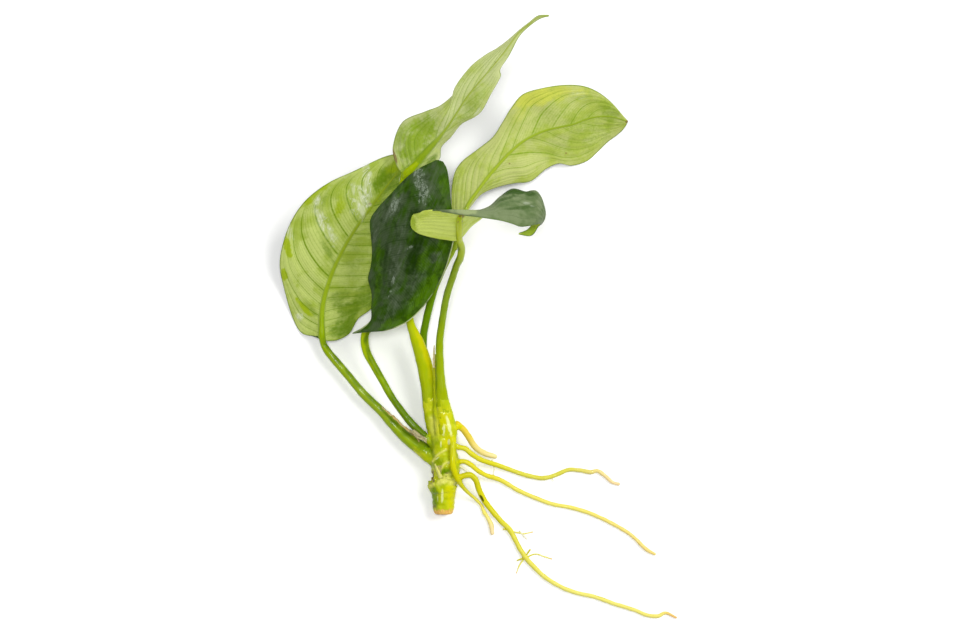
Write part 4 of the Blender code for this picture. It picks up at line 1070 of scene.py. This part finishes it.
def leaf_skin(name, fresh, pale, deep, bright, vein_colour, rib_colours, margin_colour,
              vein_strength=0.75, fine_strength=0.4, rib_strength=0.95, roughness=0.42,
              film_colour=(0.80, 0.85, 0.60), film=0.8, specular=0.06, cracks=0.0, net=0.14,
              streaks=1.0, lengthwise=None, sheen_mottle=0.0, lace=0.65):
    """A leaf's skin. Its green is mixed from the leaf's pale, deep and bright fields,
    whose rims run out in streaks along the side veins. On it lie the side veins as thin
    lines of uneven strength, finer ones between them, a faint net, the midrib, the
    margin's line, brown flecks, and the painted glare of a water layer that gathers in
    light worms. On the dark leaf the pale field is a painted grey sheen, which can also lie
    in patches over it, and part of the left leaf's deep field is painted shadow."""
    skin = Finish(name)
    place = skin.place()
    grain = skin.field("grain", "Vector")
    vein = skin.field("vein")
    edge = skin.field("edge")
    rib = skin.field("rib")
    wet_and_glare = skin.field("wet_and_glare")
    across = skin.node("ShaderNodeSeparateXYZ", None, {0: grain})

    # the greens
    if lengthwise:
        flow = skin.stretched(grain, lengthwise)
    else:
        flow = skin.combined(vein * 1.5, across * 0.07, vein * 0.2)
    cloud = skin.noise(place, 0.13, 4.0)
    fine = skin.noise(place, 1.1, 3.0)
    streak = skin.noise(flow, 1.0, 5.0, 0.6)
    rim = 1.1 * streaks * (streak - 0.5) + 0.5 * (fine - 0.5)
    clouded = skin.step(cloud + streaks * 0.5 * (streak - cloud), 0.40, 0.60)
    skin.base = skin.mix(0.85 * clouded, fresh, pale)
    for wash, colour, strength, full in (("pale", pale, 0.9, 0.9), ("deep", deep, 0.95, 0.95),
                                         ("bright", bright, 0.95, 0.9)):
        skin.paint(strength * skin.step(skin.field(wash) + rim, 0.1, full), colour)
    # painted grey sheen of reflected light in patches on the dark leaf, then darker patches of its
    # green
    if sheen_mottle:
        cloudy = skin.grainy((0.6, 0.22, 1.0), 1.0, 3.0, 0.6)
        painted_sheen = sheen_mottle * skin.step(cloudy, 0.42, 0.70) * (0.15 + skin.field("pale"))
        skin.paint(painted_sheen, film_colour)
        skin.paint(0.5 * skin.step(skin.noise(place, 0.3), 0.50, 0.68), deep)

    # the veins, their net, the margin and the midrib
    which = vein.math("ROUND")
    chance = skin.node("ShaderNodeTexWhiteNoise", {"noise_dimensions": "1D"}, {"W": which})
    strength = 0.4 + 0.6 * chance
    main_line = skin.lines(vein.off_whole(), 0.01, 0.08) * strength
    halo = skin.lines(vein.off_whole(), 0.03, 0.28) * strength
    fine_line = skin.lines((vein * 6.0).off_whole(), 0.02, 0.25)
    cells = skin.node("ShaderNodeTexVoronoi", {"feature": "DISTANCE_TO_EDGE"},
                      {"Vector": place, "Scale": 0.9})
    lines = (0.2 * halo + main_line) * vein_strength
    lines = lines + fine_strength * fine_line * (streak + fine - 0.4)
    lines = lines + net * skin.lines(cells, 0.0, 0.1)
    shown = skin.step(rib, 0.9, 1.6) * skin.step(edge, 0.4, 3.5) * (0.5 + 0.9 * fine)
    skin.paint(lines * shown, vein_colour)
    skin.paint(skin.lines(edge, 0.1, 0.6) * (0.3 + 0.9 * cloud), margin_colour)
    skin.paint(skin.lines(edge, 0.4, 0.9) * skin.field("rim"), RIM_LINE)
    rib_colour = skin.mix(skin.step(skin.field("along"), 0.0, 0.8), *rib_colours)
    skin.paint(rib_strength * skin.lines(rib, 0.75, 1.05), rib_colour)
    rib_side = skin.lines((rib - 1.15).size(), 0.0, 0.35) * 0.65 * rib_strength
    skin.paint(rib_side, vein_colour)

    # flecks, brown places and the painted glare of the water layer
    skin.paint(0.3 * skin.step(skin.noise(place, 0.9, 2.0), 0.70, 0.76), deep)
    brown = skin.step(skin.field("brown") + 0.5 * (fine - 0.5), 0.3, 0.8)
    skin.paint(0.75 * brown, LEAF_BROWN)
    lay = skin.combined(vein * 2.2, across * 0.28)
    worms = skin.lines((skin.noise(lay, 1.0, 1.0, 0.5, 1.2) - 0.5).size(), 0.015, 0.075)
    worms = worms * skin.step(skin.noise(place, 0.5, 2.0), 0.36, 0.50)
    if cracks:
        strokes = skin.stretched(place, (1.0, 0.7, 1.0))
    else:
        strokes = skin.combined(vein * 2.4, across * 0.13, 3.0)
    glare_patches = skin.step(skin.noise(strokes, 0.9, 4.0, 0.6, 0.5), 0.45, 0.60)
    crack = skin.lines((skin.noise(place, 0.6, 2.0, 0.5, 1.5) - 0.5).size(), 0.01, 0.05)
    painted_glare_share = skin.step(wet_and_glare + 0.4 * (fine - 0.5), 0.05, 0.7)
    painted_glare_share = painted_glare_share * (lace * worms + 0.7 * glare_patches + 0.05) * (1 - cracks * crack)
    # paints the glare of the water layer: pale worms and streaks of reflected light
    skin.paint(painted_glare_share * film, film_colour)
    height = 0.4 * fine + 0.8 * worms * wet_and_glare + 0.25 * fine_line
    return skin.done(Roughness=roughness - 0.15 * wet_and_glare + 0.18 * (fine - 0.5),
                     Normal=skin.bump(height, 0.12 * MM, strength=0.6), Coat_Weight=0.6 * wet_and_glare,
                     Coat_Roughness=0.2, Specular_IOR_Level=specular)


def stem_skin(name, stops, shade, light, roughness=0.36, wet_and_glare=0.4, spot=(0.26, 0.15, 0.05)):
    """A stalk's skin: colours along its length, a darker side that is painted shade (on the
    sheath the same field paints its yellow wing), fine lengthwise streaks and a coat of
    water that comes and goes."""
    skin = Finish(name)
    lengthwise = skin.grainy((1.6, 1.6, 0.12), 1.0, 3.0)
    fine = skin.grainy((3.0, 3.0, 0.4), 1.2, 2.0)
    cloud = skin.noise(skin.place(), 0.35, 3.0)
    skin.base = skin.ramp(skin.field("along"), stops)
    # painted shade on the darker side of a stalk or root; on the sheath this paints its yellow
    # wing
    skin.paint(skin.field("shade") * (0.6 + 0.8 * (cloud - 0.3)), shade)
    skin.paint(0.25 * skin.step(lengthwise, 0.5, 0.72), light)
    skin.paint(0.2 * skin.step(fine, 0.52, 0.75), shade)
    brown = skin.step(skin.field("brown") + 0.6 * (fine - 0.5), 0.3, 0.8)
    skin.paint(0.9 * brown, spot)
    coat = 0.5 * wet_and_glare * skin.step(cloud, 0.45, 0.6)
    normal = skin.bump(0.6 * lengthwise + 0.4 * fine, 0.15 * MM, strength=0.5)
    return skin.done(Roughness=roughness + 0.2 * (fine - 0.5), Normal=normal,
                     Coat_Weight=coat, Coat_Roughness=0.12, Specular_IOR_Level=0.06)


def crown_skin():
    """The rhizome's skin: yellow-green that turns deep green on the left and yellow on
    the right, pale scars, brown torn places, a tan cut and a coat of water. The deep green
    is partly painted shade, on the left side and in the hollows between the feet, and the
    glistening places carry painted highlights."""
    skin = Finish("crown_skin")
    place = skin.place()
    cloud = skin.noise(place, 0.3, 4.0)
    fine = skin.noise(place, 1.6, 3.0)
    fibres = skin.grainy((2.2, 2.2, 2.2), 1.0, 3.0)
    uneven = 0.7 + 0.6 * fine
    skin.base = skin.mix(skin.step(cloud, 0.35, 0.65), (0.44, 0.53, 0.004), (0.56, 0.60, 0.01))
    skin.paint(skin.field("yellow") * uneven, (0.66, 0.65, 0.0))
    # deep green, partly painted shade in the hollows and on the left side
    skin.paint(skin.field("deep") * uneven, (0.15, 0.27, 0.0))
    skin.paint(0.25 * skin.step(fibres, 0.5, 0.7), (0.34, 0.43, 0.0))
    skin.paint(skin.field("pale") * uneven, (0.70, 0.70, 0.14))
    brown = skin.step(skin.field("brown") + 0.7 * (fine - 0.5), 0.25, 0.8)
    skin.paint(brown, (0.20, 0.15, 0.05))
    cut = skin.field("cut")
    tan = skin.mix(skin.step(fine, 0.4, 0.6), (0.90, 0.58, 0.14), (0.74, 0.38, 0.10))
    skin.paint(cut * uneven, tan)
    # painted highlights on the glistening places
    skin.paint(0.75 * skin.step(skin.field("wet_and_glare"), 0.2, 0.9), (0.88, 0.92, 0.42))
    return skin.done(Roughness=0.32 + 0.25 * (fine - 0.5) + 0.25 * cut,
                     Normal=skin.bump(0.6 * fibres + 0.4 * fine, 0.15 * MM, strength=0.6),
                     Coat_Weight=0.3 * skin.step(cloud, 0.45, 0.6), Coat_Roughness=0.1,
                     Specular_IOR_Level=0.06)


def dry_skin(name, dark, light):
    """Dry papery tissue: brown fibres along the strip with pale torn places."""
    skin = Finish(name)
    fibres = skin.grainy((3.0, 0.25, 1.0), 1.4, 4.0)
    cloud = skin.noise(skin.place(), 0.8, 3.0)
    skin.base = skin.mix(skin.step(fibres, 0.35, 0.65), dark, light)
    skin.paint(0.6 * skin.step(cloud, 0.5, 0.7), (0.55, 0.47, 0.28))
    return skin.done(Roughness=0.75, Normal=skin.bump(fibres, 0.2 * MM, strength=0.7))


def underside(node, **changes):
    """The pale side of a leaf, with the changes that set it apart from the other leaves."""
    return leaf_skin(f"{node}_underside", **{**UNDERSIDE, **changes})


def upper_side(node):
    """The dark side of a leaf, the same on all of them."""
    return leaf_skin(f"{node}_upper_side", **UPPER_SIDE)


# the plant

def carried(piece, slot, *nodes):
    """The piece moves with the plant and stands for the nodes, whose parts are hidden. slot is not
    used.
    """
    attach(piece, "root")
    if nodes:
        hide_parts(*nodes)


def flat_leaves():
    """The left, upper and right leaves show their undersides, the dark leaf its upper side."""
    skin = underside("left_leaf", pale=(0.60, 0.70, 0.20), fresh=(0.38, 0.50, 0.06),
                     bright=(0.38, 0.51, 0.01), deep=(0.13, 0.25, 0.0), film=0.72,
                     rib_colours=((0.34, 0.50, 0.0), (0.30, 0.40, 0.02)))
    leaf("left_leaf", "pale_leaf", LEFT_LEAF, LEFT_FEET, LEFT_WASHES,
         (skin, upper_side("left_leaf")),
         sweep=0.15, rib_width=(1.25, 0.72, 0.36), rib_height=(0.75, 0.2))
    skin = underside("upper_leaf", pale=(0.61, 0.67, 0.30), fresh=(0.48, 0.57, 0.14),
                     bright=(0.27, 0.42, 0.01), vein_colour=(0.20, 0.33, 0.02),
                     vein_strength=0.7, streaks=0.5,
                     rib_colours=((0.25, 0.39, 0.0), (0.42, 0.50, 0.08)))
    leaf("upper_leaf", "pale_leaf", UPPER_LEAF, UPPER_FEET, UPPER_WASHES,
         (skin, upper_side("upper_leaf")),
         sweep=0.22, rib_width=(2.0, 0.62, 0.2), rib_height=(0.6, 0.1))
    skin = underside("right_leaf", pale=(0.56, 0.61, 0.21), bright=(0.66, 0.69, 0.10),
                     deep=(0.19, 0.32, 0.0), fresh=(0.43, 0.52, 0.09),
                     vein_colour=(0.20, 0.33, 0.01), vein_strength=0.65, streaks=0.4,
                     rib_colours=((0.36, 0.48, 0.02), (0.28, 0.39, 0.02)))
    leaf("right_leaf", "pale_leaf", RIGHT_LEAF, RIGHT_FEET, RIGHT_WASHES,
         (skin, upper_side("right_leaf")),
         sweep=0.26, rib_width=(0.75, 0.52, 0.28), rib_height=(0.5, 0.15))
    leaf("dark_leaf", "dark_leaf", DARK_LEAF, DARK_FEET, DARK_WASHES,
         (upper_side("dark_leaf"), underside("dark_leaf")),
         sweep=0.12, rib_width=(0.7, 0.5, 0.3), rib_height=(0.12, 0.05), underside_up=False)


def curled_leaf():
    """The blade that folds over on itself: the inside of the fold is pale lime, its
    outside grey-green, a dark green with a painted grey sheen. Creases along the blade lift
    the middle surface by a cosine of the vein number, and a ripple is added to them."""
    sheet = folded_sheet(CURLED_LEAF)
    rows, columns, _ = sheet.shape
    normal = facing(sheet)
    along = np.linspace(0, 1, rows)[:, None] * np.ones((1, columns))
    across = np.linspace(-1, 1, columns)[None, :] * np.ones((rows, 1))
    edge = to_margin(sheet)
    vein = 0.3 + 6.0 * across + 0.4 * np.sin(5 * along + 2 * across)
    inner = ease(edge, 0.0, 3.0)
    creases = 0.16 * -np.cos(2 * np.pi * vein) * inner
    middle = sheet + normal * (creases * 0.5 + 0.2 * ripple(sheet, 9.0, 21) * inner)[..., None]
    body = normal * half_thickness(edge)[..., None]
    fields = {
        "along": along, "edge": edge, "rib": np.full_like(along, 9.0), "vein": vein,
        "grain": np.stack([across * 20, along * 60.0, 0 * along], axis=-1),
        **washed(sheet, CURLED_WASHES, 51), "rim": np.zeros_like(along),
    }
    lime = leaf_skin("curled_leaf_inside", **{
        **UNDERSIDE, "fresh": (0.66, 0.80, 0.10), "pale": (0.80, 0.93, 0.21),
        "bright": (0.50, 0.66, 0.05), "vein_colour": (0.38, 0.50, 0.04),
        "vein_strength": 0.5, "streaks": 0.6})
    # the outside's grey-green colours are its dark green with a painted sheen of reflected light
    outside = leaf_skin(
        "curled_leaf_outside", fresh=(0.105, 0.165, 0.053), pale=(0.205, 0.26, 0.125),
        deep=(0.025, 0.075, 0.0), bright=(0.35, 0.42, 0.19), vein_colour=(0.07, 0.12, 0.04),
        rib_colours=((0.2, 0.3, 0.1), (0.2, 0.3, 0.1)), margin_colour=(0.10, 0.18, 0.03),
        streaks=0.4, vein_strength=0.4, fine_strength=0.3, specular=0.12, roughness=0.5,
        film_colour=(0.4, 0.46, 0.34))
    piece = shell("curled_leaf_blade", middle + body, middle - body, fields, (outside, lime))
    carried(piece, "curled_leaf", "curled_leaf")


def painted_side_shade(middle, reach=0.4, spots=()):
    """Fields of a stalk with painted shade round the angle middle, in degrees, and brown spots."""
    def colouring(share, turn, points):
        near = np.cos(turn - np.radians(middle)) + 0.3 * ripple(points, 6.0, 61)
        shade = ease(near, reach, 1.0) * ease(share, 0.1, 0.3)
        return {"shade": shade, "brown": blots(points, spots, 62)}
    return colouring


def wing(share, turn, points):
    """Fields of the sheath: a yellow wing on its right side, dark specks on its left edge."""
    right = ease(-np.cos(turn) + 0.2 * ripple(points, 5.0, 61), 0.0, 0.5)
    span = ease(share, 0.58, 0.66) * (1 - ease(share, 0.76, 0.84))
    return {"shade": right * span, "brown": blots(points, SHEATH_SPECKS, 62)}


def soft_lumps(height, size, knobs=()):
    """Ripples of the given height and size in mm, with a few knobs on them: bell curves,
    each given by its x and y, how high it is and how wide."""
    def relief(points):
        lumps = height * ripple(points, size, 71)
        for x, y, high, wide in knobs:
            distance = (points[..., 0] - x) ** 2 + (points[..., 1] - y) ** 2
            lumps = lumps + high * np.exp(-distance / wide**2)
        return lumps
    return relief


def stalk(look, name, node, rows, steps, sides, lumps, colouring, slot="stalk"):
    """A stalk of so many steps and sides, with soft lumps as high and as long as given."""
    piece = stem(name, rows, steps, sides, stem_skin(f"{look}_skin", **STALK_LOOKS[look]),
                 soft_lumps(*lumps), colouring)
    carried(piece, slot, node)


def stalks():
    """Four round stalks, and the one that opens into a flat yellow-green sheath."""
    stalk("left_stalk", "left_stalk", "left_leaf_stalk", LEFT_NECK + LEFT_STALK,
          steps=150, sides=32, lumps=(0.06, 5.0), colouring=painted_side_shade(140))
    stalk("dark_stalk", "dark_stalk", "dark_leaf_stalk", DARK_STALK,
          steps=180, sides=28, lumps=(0.05, 5.0), colouring=painted_side_shade(120, reach=0.6))
    stalk("right_stalk", "right_stalk", "right_leaf_stalk", RIGHT_NECK + RIGHT_STALK,
          steps=170, sides=28, lumps=(0.05, 5.0), colouring=painted_side_shade(0, reach=0.5))
    stalk("curled_stalk", "curled_stalk", "curled_leaf_stalk", CURLED_NECK + CURLED_STALK,
          steps=240, sides=40, lumps=(0.06, 4.0),
          colouring=painted_side_shade(0, reach=0.55, spots=CURLED_SPOTS))
    stalk("sheath", "leaf_sheath", "upper_leaf_stalk", UPPER_NECK + UPPER_STALK,
          steps=190, sides=40, lumps=(0.08, 4.0), colouring=wing, slot="sheath")


def stroke(points, path, width):
    """A soft line seen from above: a bell curve of the distance from the path's chords."""
    path = np.asarray(path, float)
    flat = points[..., None, :2]
    start, chord = path[:-1], np.diff(path, axis=0)
    share = np.clip(((flat - start) * chord).sum(axis=-1) / (chord**2).sum(axis=-1), 0, 1)
    distance = np.linalg.norm(flat - start - share[..., None] * chord, axis=-1).min(axis=-1)
    return np.exp(-((distance / width) ** 2))


def crown():
    """The rhizome with the feet of the stalks and roots grown together with it.

    Its skin stands out by soft lines over the scars, by a collar that begins at a jagged
    line across the rhizome and fades below it, by faint sine rings and by ripples. A
    groove runs along the collar's line, and the cut end stays nearly flat. The places are
    given by -y, which grows towards the cut end.
    """
    points, normals, faces = grown_together((RHIZOME, *CROWN_FEET))
    x, y = points[:, 0], points[:, 1]
    scars = sum(stroke(points, path, width=0.45) for path in SCARS) * ease(normals[:, 2], 0.0, 0.5)
    jag = 0.8 * ripple(points, 2.6, 83) + 0.4 * ripple(points, 1.1, 84)
    below = COLLAR_HIGH - 0.42 * np.abs(x - COLLAR_MIDDLE) + jag - y
    collar = ease(below, -0.15, 0.15) * (1 - ease(below, 0.4, 4.0))
    collar = (0.75 - 0.25 * ease(-x, 16.0, 18.0)) * collar
    groove = 0.35 * ease(below, -1.6, -0.2) * (1 - ease(below, -0.2, 0.1))
    torn = ease(-x, 16.0, 18.5) * ease(-y, 59.0, 61.0) * (1 - ease(-y, 66.0, 68.0))
    faint_rings = np.sin(2 * np.pi * (y + 0.3 * ripple(points, 5.0, 85)) / RING_SPACING)
    relief = (0.30 * scars + collar - groove + torn * 0.3 * ripple(points, 1.2, 86)
              + 0.05 * faint_rings * ease(-y, 51.0, 54.0)
              + 0.12 * ripple(points, 3.0, 81) + 0.05 * ripple(points, 1.0, 82))
    relief = relief * (1 - ease(-y, 76.2, 77.2) * 0.6)
    fields = {
        "grain": points * (1.0, 0.15, 1.0), **washed(points, CROWN_WASHES, 61),
        "cut": ease(-y + 0.5 * ripple(points, 1.5, 87), CUT_END - 0.5, CUT_END + 0.5),
    }
    fields["pale"] = np.maximum(fields["pale"], np.clip(scars, 0, 1))
    cloud = points + normals * relief[:, None]
    piece = add_piece("crown_and_rhizome", cloud, faces, fields, [crown_skin()])
    carried(piece, "rhizome", "rhizome")


def root(name, rows, looks, *nodes, knobs=(), dark=(), sink=0.0):
    """A root that begins with one more row, further back in the rhizome and sink mm lower."""
    # of the two colours after the looks, the first is the painted shade on each root's darker
    # side, the second its streaks
    skin = stem_skin(f"{name}_skin", looks, (0.56, 0.52, 0.0), (0.90, 0.85, 0.22),
                     roughness=0.42, wet_and_glare=0.3, spot=(0.03, 0.04, 0.0))
    first, second = np.array(rows[0]), np.array(rows[1])
    back = first + (first - second) * (0.8, 0.8, 0.8, 0.0) - (0.0, 0.0, sink, 0.0)
    rows = (tuple(back), *rows)
    piece = stem(name, rows, ROOT_STEPS_PER_ROW * len(rows), ROOT_SIDES, skin,
                 soft_lumps(height=0.07, size=3.0, knobs=knobs),
                 painted_side_shade(200, reach=0.5, spots=dark))
    carried(piece, "root", *nodes)


def roots():
    """Five main roots, the long one's side rootlets and a few thread-thin ones."""
    root("short_feeder_root", SHORT_ROOT, ROOT_LOOKS["short"], "short_root")
    root("upper_feeder_root", UPPER_ROOT, ROOT_LOOKS["upper"], "upper_root",
         knobs=((26.0, -63.2, 0.2, 0.8),))
    root("middle_feeder_root", MIDDLE_ROOT, ROOT_LOOKS["middle"], "middle_root",
         knobs=((5.2, -62.4, 0.35, 0.7),))
    root("long_feeder_root", LONG_ROOT, ROOT_LOOKS["long"], "long_root",
         knobs=((12.0, -84.2, 0.35, 0.8), (18.0, -94.8, 0.4, 0.9), (17.2, -93.0, 0.25, 0.7)),
         dark=((0.7, -71.3, 1.5, 0.45, -62, 1.6),))
    root("front_feeder_root", FRONT_ROOT, ROOT_LOOKS["front"], "front_root",
         knobs=((1.6, -77.4, 0.3, 0.6),), sink=2.0)
    for number, rows in enumerate(SIDE_ROOTS, start=1):
        root(f"side_rootlet_{number}", rows, ROOT_LOOKS["long"])
    for number, rows in enumerate(FINE_ROOTS, start=1):
        root(f"fine_rootlet_{number}", rows, ROOT_LOOKS["white"])


def papery(name, sheet, lift, body, length, skin, slot, *nodes):
    """A dry strip: a thin shell of half thickness body round the sheet, which is lifted
    first, with fibres that run along its length."""
    rows, columns, _ = sheet.shape
    normal = facing(sheet)
    up = np.sign(normal[..., 2].mean())
    middle = sheet + normal * (up * lift)[..., None]
    run = np.linspace(0, length, rows)[:, None] * np.ones(columns)
    grain = np.stack([across_from(sheet, columns // 2), run, 0 * run], axis=-1)
    body = normal * body[..., None]
    piece = shell(name, middle + body, middle - body, {"grain": grain}, (skin, skin))
    carried(piece, slot, *nodes)


def bract():
    """A small pale scale that stands on the rhizome like a torn leaf."""
    sheet = ribbed_sheet(BRACT, rows=60, half=10)
    body = 0.08 + 0.1 * ease(to_margin(sheet), 0.0, 0.5)
    skin = dry_skin("bract_skin", (0.62, 0.62, 0.08), (0.78, 0.78, 0.22))
    papery("rhizome_bract", sheet, 0 * body, body, 12, skin, "rhizome")


def remnants():
    """Torn strips: each keeps a share narrow of its width, a share that a ripple makes
    ragged, leans to one side by a slower ripple and curls up at its edges."""
    brown = dry_skin("dry_remnant_skin", (0.32, 0.22, 0.05), (0.60, 0.48, 0.16))
    grey = dry_skin("dry_scrap_skin", (0.24, 0.20, 0.08), (0.54, 0.49, 0.24))
    pale = dry_skin("dry_scale_skin", (0.42, 0.38, 0.06), (0.62, 0.58, 0.18))
    tan = dry_skin("dry_edge_skin", (0.62, 0.52, 0.22), (0.78, 0.70, 0.40))
    for name, stations, nodes, narrow, ragged, skin in (
            ("torn_left_strip", LEFT_REMNANT, ["left_remnant"], 0.38, 0.5, brown),
            ("torn_scraps", SCRAPS, [], 0.9, 0.6, grey),
            ("torn_upper_strip", UPPER_REMNANT, ["upper_remnant"], 0.9, 0.3, tan),
            ("dry_scale", RHIZOME_SCALE, ["rhizome_scale"], 0.8, 0.3, pale)):
        sheet = ribbed_sheet(stations, rows=120, half=12)
        columns = sheet.shape[1]
        spine = sheet[:, columns // 2 :][:, :1]
        level = spine * (1.0, 1.0, 0.0) + (0.0, 0.0, 3.0)
        share = narrow * (1 + ragged * ripple(level, 2.2, 93))
        across = sheet[:, -1:] - sheet[:, :1]
        lean = 0.5 * ragged * ripple(spine, 5.0, 94) * np.linalg.norm(across, axis=-1)
        sheet = (spine + (sheet - spine) * share[..., None]
                 + unit(across) * (lean * (1 - narrow))[..., None])
        edge = to_margin(sheet)
        curl = (0.15 * ripple(sheet, 2.0, 91) + 0.1 * ripple(sheet, 0.9, 92)
                + 0.3 * (1 - ease(edge, 0.0, 0.6)))
        body = 0.05 + 0.06 * ease(edge, 0.0, 0.4)
        papery(name, sheet, curl, body, 20, skin, "dry_remnant", *nodes)


# the studio

def floor():
    """The white surface that the plant lies on, a flat square."""
    finish = Finish("floor_paper")
    cloud = finish.noise(finish.place(), 0.004, 2.0)
    finish.base = finish.mix(cloud, (1.14, 1.14, 1.14), (1.16, 1.16, 1.16))
    mesh = bpy.data.meshes.new("floor")
    corners = [(x * FLOOR_HALF_METRES, y * FLOOR_HALF_METRES, 0)
               for x, y in ((-1, -1), (1, -1), (1, 1), (-1, 1))]
    mesh.from_pydata(corners, [], [(0, 1, 2, 3)])
    mesh.materials.append(finish.done(Roughness=0.9, Specular_IOR_Level=0.1))
    piece = placed("floor", mesh)


def camera():
    """Looks straight down on the sketch's zero and sees VIEW_WIDTH of the surface."""
    lens = bpy.data.cameras.new("camera")
    lens.sensor_width = SENSOR_WIDTH
    lens.lens = SENSOR_WIDTH * EYE_HEIGHT / VIEW_WIDTH
    lens.clip_end = 20.0
    eye = placed("camera", lens)
    eye.location = in_frame((0.0, 0.0, 0.0)) + (0.0, 0.0, EYE_HEIGHT * MM)
    bpy.context.scene.camera = eye


def lamp(name, power, size, distance, height, side, colour):
    """A round soft lamp aimed at the plant: its height and side are angles in degrees."""
    light = bpy.data.lights.new(name, "AREA")
    light.shape = "DISK"
    light.size = size
    light.energy = power
    light.color = colour
    piece = placed(name, light)
    height, side = np.radians(height), np.radians(side)
    level = np.cos(height)
    way = np.array([level * np.cos(side), level * np.sin(side), np.sin(height)])
    piece.location = way * distance
    piece.rotation_euler = (0.0, np.pi / 2 - height, side)


def lights():
    """Pale surroundings, a window high on the right and a soft lamp over the table."""
    world = bpy.data.worlds.new("studio")
    world.use_nodes = True
    bpy.context.scene.world = world
    background = world.node_tree.nodes["Background"]
    background.inputs["Color"].default_value = (0.98, 0.99, 1.0, 1.0)
    background.inputs["Strength"].default_value = SURROUNDINGS
    lamp("window", WINDOW_POWER, size=1.6, distance=3.0, height=50.0, side=34.0,
         colour=(1.0, 0.99, 0.96))
    lamp("table_lamp", TABLE_POWER, size=0.6, distance=2.8, height=87.0, side=120.0,
         colour=(1.0, 1.0, 0.99))


camera()
lights()
floor()
flat_leaves()
curled_leaf()
stalks()
crown()
bract()
roots()
remnants()
bpy.context.scene.view_settings.view_transform = "Standard"
